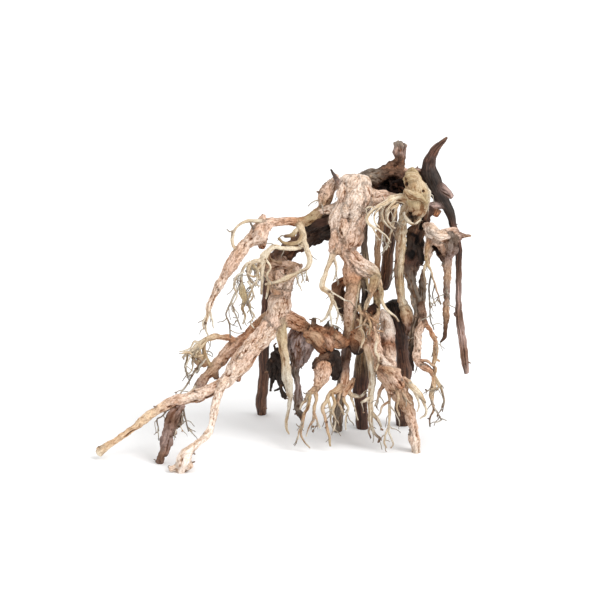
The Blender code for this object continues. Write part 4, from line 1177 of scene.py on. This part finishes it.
frontRoot = {
    "finish": "fleckedBark",
    "rootlets": 22,
    "nubs": 22,
    "rugged": 1.3,
    "hollows": [
        (106, 206, -26, 18, 9),
        (107, 194, -28, 18, 9),
        (153, 98, -52, 14, 5),
    ],
    "limbs": [
        # from the trunk's toe to the standing foot
        ("tan amber rosy tan rosy tan rosy pink ash", [(99, 200, -12, 13), (103, 184, -15, 21),
         (107, 164, -18, 26), (108, 143, -21, 27), (113, 122, -25, 26), (122, 107, -29, 26),
         (134, 96, -33, 27), (145, 83, -36, 28), (152, 69, -39, 25), (159, 54, -42, 20),
         (165, 36, -45, 16), (170, 18, -48, 14), (172, 0, -51, 13), (174, -18, onFloor, 15)]),
        # link under the trunk's toe
        ("rust tan amber", [(78, 162, -8, 16), (90, 156, -14, 24), (104, 150, -18, 28)]),
        # strands above it
        ("sand straw tan", [(89, 205, -12, 4), (93, 191, -14, 8), (98, 176, -16, 12),
         (103, 161, -18, 16)]),
        ("amber olive tan rosy", [(111, 229, -20, 5), (114, 214, -20, 8), (114, 199, -20, 12),
         (110, 182, -19, 18), (108, 165, -18, 22)]),
        ("rosy tan rosy", [(116, 116, -28, 14), (126, 101, -36, 22), (134, 86, -41, 20),
         (139, 71, -43, 11)]),
        # cream root to the right and its claws
        ("rosy sand sand straw", [(147, 92, -38, 14), (158, 88, -42, 11), (166, 81, -45, 10),
         (176, 72, -48, 9), (183, 62, -50, 7.5), (188, 56, -51, 4.5)]),
        ("sand ash", [(170, 77, -46, 5), (176, 63, -51, 4), (178, 51, -53, 3.3), (176, 42, -55, 2.2)]),
        ("sand ash", [(184, 59, -51, 4.5), (189, 48, -52, 3.6), (188, 38, -53, 3),
         (180, 32, -54, 2.2)]),
        # fingers
        ("tan straw ash", [(132, 80, -39, 8), (134, 63, -44, 5.4), (134, 45, -48, 4.5),
         (134, 28, -52, 4), (130, 12, -55, 3.3), (126, -2, -58, 2.7), (129, -12, -60, 2)]),
        ("ash", [(132, 22, -54, 3), (135, 6, -56, 2.9), (140, -6, -58, 2.4), (136, -12, -59, 2)]),
        ("tan ash", [(133, 58, -46, 4), (123, 50, -48, 3.3), (120, 40, -50, 2.7), (114, 32, -52, 2.1)]),
        ("ash", [(134, 53, -47, 3.6), (142, 42, -49, 2.7), (147, 33, -51, 2.1)]),
        ("rosy tan ash", [(127, 86, -37, 8), (120, 72, -42, 5.7), (117, 62, -44, 4.5),
         (112, 51, -46, 2.7)]),
        ("slate", [(168, 16, -49, 6), (163, 8, -54, 3.5)]),
        # finer growth
        ("amber rosy tan", [(122, 112, -38, 14), (130, 100, -46, 18), (137, 88, -50, 16),
         (142, 76, -50, 9)]),
        ("amber tan rosy amber", [(122, 108, -42, 13), (134, 102, -51, 17), (145, 93, -55, 18),
         (153, 80, -55, 12)]),
        ("pink blush", [(118, 128, -38, 8), (128, 116, -44, 10), (140, 104, -48, 9),
         (150, 94, -50, 6)]),
        ("rosy sand straw", [(111, 170, -36, 4), (116, 152, -39, 6), (113, 136, -41, 5),
         (118, 120, -43, 5), (114, 104, -47, 3.6)]),
        ("sand rosy tan", [(130, 110, -42, 6), (144, 106, -47, 7), (155, 97, -50, 6),
         (162, 86, -52, 4.4)]),
        ("tan straw ash", [(143, 78, -51, 5), (148, 64, -54, 4), (145, 50, -55, 3.4),
         (149, 36, -57, 2.6)]),
        ("tan ash", [(153, 74, -51, 5), (159, 62, -54, 3.6), (167, 54, -56, 2.6)]),
        ("straw amber straw", [(84, 198, -20, 4.4), (96, 188, -28, 4.4), (108, 181, -31, 4),
         (120, 172, -33, 3)]),
        ("amber straw", [(114, 202, -24, 4.4), (104, 190, -30, 4.4), (97, 177, -31, 4),
         (88, 166, -28, 3)]),
        ("straw tan", [(86, 181, -22, 4.4), (98, 172, -31, 5), (110, 166, -35, 4.4),
         (124, 162, -37, 3)]),
        ("amber olive", [(100, 204, -24, 4), (99, 190, -29, 4.4), (106, 174, -34, 4.4),
         (104, 158, -36, 3.4)]),
    ],
}
growPiece("frontRoot", "front_root", frontRoot)

paleRoot = {
    "finish": "paleRoot",
    "rootlets": 6,
    "nubs": 10,
    "limbs": [
        ("tan ash ash sand ash umber", [(100, 144, -26, 12), (104, 126, -32, 13), (108, 105, -36, 11),
         (108, 84, -38, 10.5), (106, 63, -40, 10), (106, 44, -41, 8), (106, 27, -42, 7.5),
         (110, 14, -43, 6.6), (116, 6, -44, 5.4), (120, 2, -45, 4.5), (117, -4, -46, 2.8)]),
        ("ash", [(108, 40, -42, 6), (117, 30, -44, 5.4), (122, 20, -46, 3.6)]),
        ("ash umber", [(107, 22, -43, 4.5), (103, 13, -46, 3), (106, 3, -47, 2.4)]),
        ("sand ash", [(106, 65, -41, 6), (98, 60, -44, 4.8), (92, 56, -45, 3)]),
    ],
}
growPiece("paleRoot", "pale_root", paleRoot)

lowBridge = {
    "finish": "fleckedBark",
    "rootlets": 22,
    "nubs": 20,
    "rugged": 1.45,
    "limbs": [
        ("tan amber amber rust", [(12, 160, -6, 15), (21, 155, -8, 29), (35, 153, -9, 36),
         (50, 148, -8, 27), (64, 146, -6, 19), (78, 152, -4, 14)]),
        ("umber soot", [(24, 160, -10, 14), (20, 174, -11, 8), (20, 182, -11, 3)]),
        ("umber soot", [(37, 160, -10, 14), (41, 172, -11, 7), (42, 178, -11, 3)]),
        ("umber soot", [(50, 154, -6, 12), (55, 164, -7, 6), (57, 169, -7, 3)]),
        # drooping nub
        ("rust amber rosy tan", [(40, 144, -6, 16), (38, 128, -8, 14), (33, 115, -14, 23),
         (33, 100, -19, 24), (30, 86, -24, 17), (25, 76, -27, 9)]),
        # fingers
        ("tan straw ash", [(22, 77, -28, 8), (14, 70, -32, 7), (9, 60, -36, 6), (3, 54, -39, 4.5),
         (0, 46, -40, 2.6)]),
        ("olive tan ash", [(14, 68, -33, 6.5), (12, 51, -38, 6.3), (6, 36, -42, 6), (3, 20, -46, 5.4),
         (2, 6, -49, 4), (9, -5, -53, 3), (15, -12, -56, 2.2)]),
        ("tan straw tan ash", [(22, 77, -27, 7.5), (24, 60, -31, 6.3), (21, 44, -36, 5.4),
         (20, 30, -40, 4.5), (14, 20, -44, 3.6), (9, 5, -48, 2.2)]),
        ("tan ash", [(21, 41, -38, 4), (26, 28, -41, 3), (30, 18, -44, 2.2)]),
        ("straw ash", [(4, 24, -46, 3.6), (-2, 12, -50, 2.7), (-3, 1, -52, 2.2)]),
        # finer growth
        ("rust umber", [(46, 160, -16, 11), (48, 168, -17, 7), (49, 172, -17, 3)]),
        ("amber rust amber", [(16, 167, -11, 12), (28, 165, -12, 15), (40, 162, -14, 12)]),
        ("rust amber", [(36, 166, -8, 13), (48, 160, -10, 14), (60, 155, -8, 11)]),
        ("amber tan rust", [(10, 158, -10, 14), (20, 157, -18, 13), (30, 149, -22, 13),
         (36, 140, -20, 10)]),
        ("rust rosy rust", [(38, 158, -20, 11), (44, 148, -22, 13), (46, 138, -18, 11)]),
        ("tan amber umber", [(50, 157, -14, 10), (58, 149, -14, 12), (64, 142, -10, 9)]),
        ("umber rust", [(22, 144, -18, 10), (30, 136, -17, 11), (38, 133, -13, 9)]),
    ],
}
growPiece("lowBridge", "low_bridge", lowBridge)

frontFingers = {
    "finish": "creamRoot",
    "rootlets": 20,
    "nubs": 14,
    "limbs": [
        ("mauve umber mauve rosy tan", [(73, 138, 2, 10), (70, 117, -4, 11), (68, 99, -12, 13),
         (66, 82, -20, 13), (62, 76, -23, 10)]),
        ("tan straw tan olive", [(64, 81, -20, 12), (54, 74, -26, 10), (45, 68, -31, 7.5),
         (39, 57, -35, 6.3), (34, 46, -38, 5.7), (38, 33, -41, 5), (40, 20, -44, 4.8),
         (44, 4, -47, 4.2), (45, -9, -50, 2.6)]),
        ("straw ash", [(42, 62, -34, 4.5), (46, 46, -36, 3.6), (46, 30, -38, 3), (50, 15, -40, 2.2)]),
        ("tan sand ash", [(68, 80, -21, 9), (75, 70, -26, 7), (82, 66, -29, 5.4), (92, 66, -31, 4.5),
         (99, 74, -31, 3)]),
        ("straw ash", [(69, 76, -24, 6), (66, 60, -30, 5), (72, 48, -33, 4), (69, 33, -35, 3),
         (69, 15, -38, 2.2)]),
        ("sand ash", [(76, 68, -28, 4), (82, 48, -33, 3), (87, 30, -36, 2.2)]),
        ("tan ash", [(61, 75, -25, 6), (57, 58, -30, 5), (62, 48, -34, 3.8), (66, 38, -35, 2.4)]),
        # finer growth
        ("tan rosy", [(80, 92, -12, 8), (76, 82, -20, 10), (70, 74, -26, 8), (66, 66, -30, 5)]),
        ("straw ash", [(48, 70, -34, 5), (52, 56, -38, 4.4), (49, 42, -41, 3.8), (53, 28, -43, 3.2),
         (50, 14, -46, 2.6)]),
    ],
}
growPiece("frontFingers", "front_fingers", frontFingers)

pinkPost = {
    "finish": "fleckedBark",
    "nubs": 4,
    "rugged": 1.7,
    "limbs": [
        ("blush blush blush rust pink rosy", [(123, 194, 18, 9), (129, 180, 18, 19), (131, 162, 15, 24),
         (132, 142, 5, 24), (134, 122, -8, 22), (136, 106, -16, 16)]),
    ],
}
growPiece("pinkPost", "pink_post", pinkPost)

knee = {
    "finish": "fleckedBark",
    "rootlets": 20,
    "nubs": 14,
    "rugged": 1.5,
    "hollows": [
        (206, 286, -14, 22, 8),
    ],
    "limbs": [
        ("rosy blush pink rosy mauve tan", [(188, 322, 4, 16), (197, 312, -2, 25), (206, 301, -6, 29),
         (217, 302, -5, 25), (228, 306, -2, 22), (238, 306, 2, 18), (246, 307, 2, 9),
         (256, 306, 2, 3)]),
        # funnel into the thin pole
        ("slate mauve tan mauve tan umber dark", [(219, 302, -6, 29), (221, 286, -7, 27),
         (221, 272, -8, 19), (221, 260, -8, 13), (221, 246, -8, 10.5), (220, 218, -8, 9),
         (219, 188, -8, 8.5), (218, 165, -8, 7), (216, 153, -8, 5), (211, 147, -8, 2.8)]),
        ("umber dark", [(202, 294, -7, 16), (209, 280, -9, 10), (218, 266, -9, 7)]),
        ("mauve umber", [(214, 302, -14, 12), (216, 288, -14, 8), (220, 272, -11, 5)]),
        ("blush pink amber", [(197, 302, -6, 20), (194, 289, -9, 16), (191, 276, -13, 10),
         (193, 264, -17, 5)]),
        # rootlets
        ("amber olive straw tan slate", [(195, 300, -12, 10), (190, 282, -18, 7), (190, 267, -20, 5),
         (196, 255, -21, 4.2), (201, 237, -22, 3.6), (206, 220, -22, 3), (212, 204, -22, 2.2)]),
        ("slate", [(197, 250, -21, 3.6), (194, 231, -21, 3.3), (194, 214, -21, 3), (195, 198, -21, 2.7),
         (196, 180, -21, 2.4), (201, 165, -21, 2)]),
        ("straw slate", [(190, 269, -20, 4), (186, 252, -20, 3.3), (188, 236, -20, 2.7),
         (187, 222, -20, 2.2)]),
        ("slate", [(202, 233, -22, 3), (199, 216, -23, 2.5), (204, 201, -24, 2)]),
        # finer growth
        ("blush pink", [(195, 318, -12, 12), (203, 308, -19, 14), (209, 295, -20, 9)]),
        ("slate umber", [(222, 310, -16, 12), (229, 301, -14, 13), (231, 290, -9, 8)]),
        ("blush pink mauve", [(198, 309, -14, 18), (208, 305, -19, 20), (218, 304, -18, 18),
         (226, 306, -12, 12)]),
        ("rosy umber", [(205, 300, -18, 14), (211, 290, -18, 14), (217, 278, -14, 11)]),
    ],
}
growPiece("knee", "knee", knee)

rightRoot = {
    "finish": "fleckedBark",
    "rootlets": 26,
    "nubs": 18,
    "rugged": 1.5,
    "limbs": [
        ("umber rosy pink rosy amber straw tan slate", [(181, 206, 0, 9), (184, 190, -4, 10),
         (182, 174, -6, 11), (177, 158, -8, 12), (176, 141, -10, 13), (174, 126, -12, 13),
         (178, 116, -14, 11), (189, 108, -16, 10), (198, 102, -18, 9), (201, 88, -20, 8),
         (198, 72, -22, 7), (198, 58, -24, 4.5), (201, 46, -26, 3.6), (195, 33, -28, 3),
         (195, 20, -29, 2.2)]),
        ("straw slate", [(199, 101, -18, 6), (207, 87, -20, 5), (213, 74, -22, 4.2),
         (216, 60, -24, 3.3), (214, 42, -26, 2.2)]),
        ("amber tan straw", [(177, 120, -13, 6), (190, 118, -18, 5.4), (201, 110, -21, 5),
         (202, 98, -19, 5)]),
        ("slate", [(201, 48, -26, 3), (207, 40, -28, 2.6), (212, 30, -30, 2)]),
        ("straw", [(202, 90, -20, 4), (208, 80, -23, 3.3), (199, 74, -23, 3.3)]),
        # loop
        ("umber amber tan straw", [(183, 187, -6, 9), (190, 173, -8, 7.5), (198, 160, -10, 7.5),
         (203, 144, -12, 7.5), (203, 128, -14, 8), (200, 112, -19, 6.6)]),
        ("tan", [(202, 122, -15, 4.5), (210, 118, -16, 2.8)]),
        ("tan", [(198, 158, -10, 4.5), (206, 154, -11, 2.6)]),
    ],
}
growPiece("rightRoot", "right_root", rightRoot)

hornedPole = {
    "finish": "darkPole",
    "nubs": 8,
    "sawn": True,
    "rugged": 2.4,
    "limbs": [
        # horn, neck and long hanging pole
        ("umber dark soot soot soot dark dark umber mauve umber mauve umber mauve", [(221, 454, 30, 3),
         (213, 446, 30, 9), (203, 436, 29, 14), (197, 423, 28, 18), (193, 408, 27, 25),
         (197, 390, 26, 30), (205, 372, 24, 24), (215, 358, 24, 17), (225, 341, 22, 13),
         (229, 324, 19, 11), (234, 308, 15, 11), (238, 285, 15, 11), (238, 248, 18, 11),
         (238, 213, 20, 11), (238, 189, 21, 12), (242, 162, 22, 11), (245, 135, 23, 11),
         (248, 114, 24, 10.5), (250, 100, 24, 7)]),
        # broken stub, root across and knob
        ("dark mauve mauve", [(206, 381, 22, 18), (218, 374, 20, 12), (226, 366, 18, 8.5),
         (229, 363, 17, 7)]),
        ("mauve mauve", [(212, 352, 22, 10), (200, 352, 18, 9), (190, 347, 14, 11)]),
        ("umber rust", [(206, 346, 18, 13), (202, 336, 15, 10)]),
        ("mauve", [(237, 190, 21, 9), (230, 188, 20, 5)]),
    ],
}
growPiece("hornedPole", "horned_pole", hornedPole)

rightTrunk = {
    "finish": "roughCrown",
    "nubs": 12,
    "rugged": 1.3,
    "hollows": [
        (178, 326, -3, 26, 8),
        (170, 304, -6, 26, 8),
        (165, 278, -4, 20, 6),
    ],
    "limbs": [
        ("dark umber soot dark slate slate slate slate soot dark", [(192, 348, 12, 14),
         (188, 336, 10, 20), (178, 318, 8, 26), (174, 298, 8, 28), (170, 279, 9, 26), (166, 261, 9, 20),
         (166, 244, 8, 16), (171, 226, 6, 15), (176, 208, 5, 15), (177, 190, 4, 13), (172, 171, 3, 12),
         (169, 152, 2, 11), (167, 134, 2, 10), (168, 117, 2, 7), (170, 104, 2, 3)]),
        ("soot", [(178, 293, 2, 12), (182, 276, -2, 10), (182, 264, -2, 5)]),
        ("umber slate slate rosy", [(184, 255, 4, 4), (183, 243, 4, 8), (184, 228, 4, 9),
         (184, 212, 4, 9), (181, 197, 3, 10), (175, 184, 3, 10)]),
    ],
}
growPiece("rightTrunk", "right_trunk", rightTrunk)

crown = {
    "finish": "roughCrown",
    "nubs": 14,
    "sawn": True,
    "rugged": 1.2,
    "hollows": [
        (142, 378, 8, 44, 16),
        (126, 376, 12, 28, 9),
    ],
    "limbs": [
        ("slate slate slate umber dark dark", [(66, 391, 14, 10), (87, 393, 20, 13), (102, 395, 26, 20),
         (120, 393, 30, 33), (140, 391, 30, 42), (160, 386, 30, 38), (178, 384, 28, 30)]),
        # lower edge, behind the ridge to the cream knob
        ("umber dark dark dark", [(112, 386, 28, 18), (128, 382, 24, 26), (144, 378, 20, 28),
         (160, 374, 16, 22)]),
        # cone under the stub
        ("umber umber umber", [(120, 398, 29, 18), (132, 403, 31, 26), (143, 408, 32, 28),
         (150, 412, 32, 22)]),
        # strip to the horn
        ("tan mauve umber", [(146, 402, 28, 18), (158, 402, 27, 14), (168, 403, 26, 12),
         (180, 403, 27, 11), (190, 398, 28, 10)]),
        # lump behind the cream knob
        ("dark", [(158, 384, 28, 28), (166, 372, 10, 20)]),
        # sawn stub
        ("umber umber umber mauve slate", [(142, 396, 32, 40), (146, 409, 32, 28), (149, 419, 32, 16),
         (150, 425, 32, 14), (150, 437, 32, 18), (149, 447, 32, 17)]),
    ],
}
growPiece("crown", "crown", crown)

beam = {
    "finish": "roughCrown",
    "nubs": 4,
    "rugged": 1.9,
    "limbs": [
        ("dark soot umber dark", [(88, 353, 20, 26), (52, 322, 32, 27), (27, 309, 40, 26),
         (0, 296, 50, 24), (-26, 280, 60, 21), (-54, 266, 74, 18)]),
    ],
}
growPiece("beam", "beam", beam)

barkPlate = {
    "finish": "weatheredBark",
    "nubs": 14,
    "rugged": 1.9,
    "limbs": [
        ("mauve lilac lilac slate lilac slate soot", [(4, 170, 14, 17), (-1, 155, 14, 33),
         (-3, 138, 14, 34), (-3, 122, 12, 28), (-8, 104, 10, 14), (-4, 87, 8, 10), (-3, 75, 6, 10),
         (-3, 62, 4, 14), (-3, 48, 2, 13), (0, 38, 2, 9), (4, 30, 2, 5)]),
        ("rust umber", [(12, 157, 9, 12), (20, 171, 4, 8), (23, 183, 2, 3)]),
        ("mauve", [(-4, 153, 12, 18), (-13, 142, 8, 10), (-14, 126, 6, 6)]),
        # finer growth
        ("lilac mauve", [(10, 158, 8, 13), (12, 146, 6, 16), (11, 132, 6, 13), (7, 118, 6, 7)]),
        ("lilac slate", [(-12, 150, 8, 14), (-14, 134, 6, 12), (-11, 117, 6, 8)]),
    ],
}
growPiece("barkPlate", "bark_plate", barkPlate)

darkKnuckle = {
    "finish": "charredWood",
    "nubs": 5,
    "rugged": 1.3,
    "limbs": [
        ("soot soot soot", [(44, 136, -14, 10), (48, 128, -14, 18), (52, 117, -12, 20),
         (54, 104, -10, 17), (52, 92, -8, 9)]),
        ("umber soot", [(44, 128, -16, 13), (34, 124, -22, 8), (24, 119, -24, 7), (19, 108, -24, 5)]),
    ],
}
growPiece("darkKnuckle", "dark_knuckle", darkKnuckle)

charredScrap = {
    "finish": "charredWood",
    "nubs": 10,
    "rugged": 1.4,
    "limbs": [
        ("soot soot soot", [(-26, 136, -10, 9), (-36, 130, 4, 12), (-38, 117, 10, 14),
         (-38, 102, 12, 10), (-42, 88, 14, 7), (-44, 74, 14, 3.5)]),
        ("soot soot", [(-35, 110, 10, 10), (-32, 92, 10, 8), (-28, 78, 8, 6), (-24, 68, 6, 8),
         (-22, 61, 6, 4)]),
        ("soot", [(-29, 78, 8, 4), (-38, 74, 6, 3)]),
        ("soot", [(-36, 128, 6, 6), (-39, 142, 8, 4)]),
        # finer growth
        ("soot", [(-34, 126, 3, 12), (-28, 113, 0, 12), (-27, 98, -2, 9), (-30, 85, -2, 4)]),
        ("soot", [(-41, 121, 10, 12), (-46, 107, 9, 9), (-44, 93, 9, 4)]),
        ("soot", [(-30, 98, 8, 7), (-24, 85, 6, 8), (-20, 75, 4, 6), (-14, 70, 2, 3)]),
    ],
}
growPiece("charredScrap", "charred_scrap", charredScrap)

frontLeg = {
    "finish": "weatheredBark",
    "nubs": 5,
    "sawn": True,
    "limbs": [
        ("slate mauve slate slate slate", [(75, 180, 4, 13), (70, 153, 6, 15), (68, 128, 10, 15),
         (64, 98, 17, 14), (62, 72, 23, 14), (58, 45, 29, 13.5), (56, 14, onFloor, 13)]),
    ],
}
growPiece("frontLeg", "front_leg", frontLeg)

middleLeg = {
    "finish": "darkPole",
    "nubs": 5,
    "sawn": True,
    "rugged": 2.2,
    "limbs": [
        ("olive umber slate olive umber olive dark dark dark", [(106, 390, 30, 14), (97, 350, 33, 11),
         (96, 300, 36, 10), (98, 262, 38, 11), (98, 218, 40, 12), (94, 172, 42, 15), (92, 132, 44, 20),
         (92, 98, 46, 24), (90, 72, 48, 22), (92, 48, 50, 19), (94, 18, onFloor, 16.5)]),
    ],
}
growPiece("middleLeg", "middle_leg", middleLeg)

rightLeg = {
    "finish": "darkPole",
    "nubs": 4,
    "sawn": True,
    "hollows": [
        (140, 198, 12, 30, 12),
    ],
    "limbs": [
        ("soot dark umber dark", [(136, 207, 22, 20), (142, 192, 23, 24), (150, 168, 27, 24),
         (154, 135, 37, 22), (156, 105, 47, 21), (154, 75, 54, 20), (153, 50, 60, 20),
         (154, 23, onFloor, 21)]),
    ],
}
growPiece("rightLeg", "right_leg", rightLeg)

rearLeftLeg = {
    "finish": "darkPole",
    "nubs": 3,
    "sawn": True,
    "limbs": [
        ("dark dark umber", [(-46, 276, 74, 14), (-50, 210, 86, 15), (-54, 142, 98, 16),
         (-54, 98, 106, 16), (-58, 57, 114, 16), (-57, 39, onFloor, 15)]),
        ("dark", [(-58, 57, 114, 12), (-65, 59, 114, 7)]),
    ],
}
growPiece("rearLeftLeg", "rear_left_leg", rearLeftLeg)

hangingPole = {
    "finish": "darkPole",
    "nubs": 3,
    "sawn": True,
    "limbs": [
        ("dark umber umber dark", [(136, 382, 42, 18), (136, 338, 48, 20), (134, 308, 52, 21),
         (132, 282, 54, 18), (130, 255, 54, 17), (128, 236, 54, 16), (127, 225, 54, 9)]),
    ],
}
growPiece("hangingPole", "hanging_pole", hangingPole)

thinPole = {
    "finish": "paleRoot",
    "nubs": 3,
    "sawn": True,
    "limbs": [
        ("umber tan tan tan", [(128, 384, 31, 13), (123, 335, 32, 10), (117, 300, 34, 10),
         (116, 273, 34, 9), (116, 248, 32, 9), (118, 222, 30, 8), (120, 204, 28, 5)]),
    ],
}
growPiece("thinPole", "thin_pole", thinPole)

backShard = {
    "finish": "weatheredBark",
    "nubs": 8,
    "rugged": 2.0,
    "limbs": [
        ("rust umber soot umber", [(78, 238, 4, 14), (66, 238, 2, 15), (58, 228, 2, 18),
         (62, 213, 3, 15), (64, 194, 4, 11), (68, 174, 3, 5)]),
    ],
}
growPiece("backShard", "back_shard", backShard)

bpy.data.objects.remove(ground)

# Floor, light and camera
stage = {
    "floorSize": 60,
    "floorColour": (0.9, 0.9, 0.9, 1),
    "floorRoughness": 0.9,
    "skyColour": (1, 1, 1, 1),
    "skyStrength": 0.72,
}
bm = bmesh.new()
bmesh.ops.create_grid(bm, x_segments=1, y_segments=1, size=stage["floorSize"] / 2)
floor = addObject("floor", bpy.data.meshes.new("floor"), bpy.context.scene.collection)
bm.to_mesh(floor.data)
bm.free()
paper = bpy.data.materials.new("paper")
paper.use_nodes = True
matt = paper.node_tree.nodes["Principled BSDF"].inputs
matt["Base Color"].default_value = stage["floorColour"]
matt["Roughness"].default_value = stage["floorRoughness"]
floor.data.materials.append(paper)

sky = bpy.data.worlds.new("studio")
sky.use_nodes = True
glow = sky.node_tree.nodes["Background"].inputs
glow["Color"].default_value = stage["skyColour"]
glow["Strength"].default_value = stage["skyStrength"]
bpy.context.scene.world = sky
bpy.context.scene.view_settings.view_transform = "Standard"

lamps = {
    "keyLight": {"from": (1.5, -1, 1.7), "spread": math.radians(35), "strength": 2.1},
    "topLight": {"from": (-0.5, -0.4, 2), "spread": math.radians(90), "strength": 0.8},
}
for name, lamp in lamps.items():
    light = addObject(name, bpy.data.lights.new(name, "SUN"), bpy.context.scene.collection)
    light.data.angle, light.data.energy = lamp["spread"], lamp["strength"]
    light.rotation_euler = Vector(lamp["from"]).to_track_quat("Z", "Y").to_euler()

lens = bpy.data.cameras.new("camera")
lens.sensor_fit = "HORIZONTAL"
lens.angle = 2 * math.atan(sketch["viewWidth"] / 2 / sketch["eyeDistance"])
camera = addObject("camera", lens, bpy.context.scene.collection)
camera.location = eye - sketch["centre"]
camera.rotation_euler = (math.pi / 2 - sketch["lookDown"], 0, 0)
bpy.context.scene.camera = camera
print("floor, light and camera set")
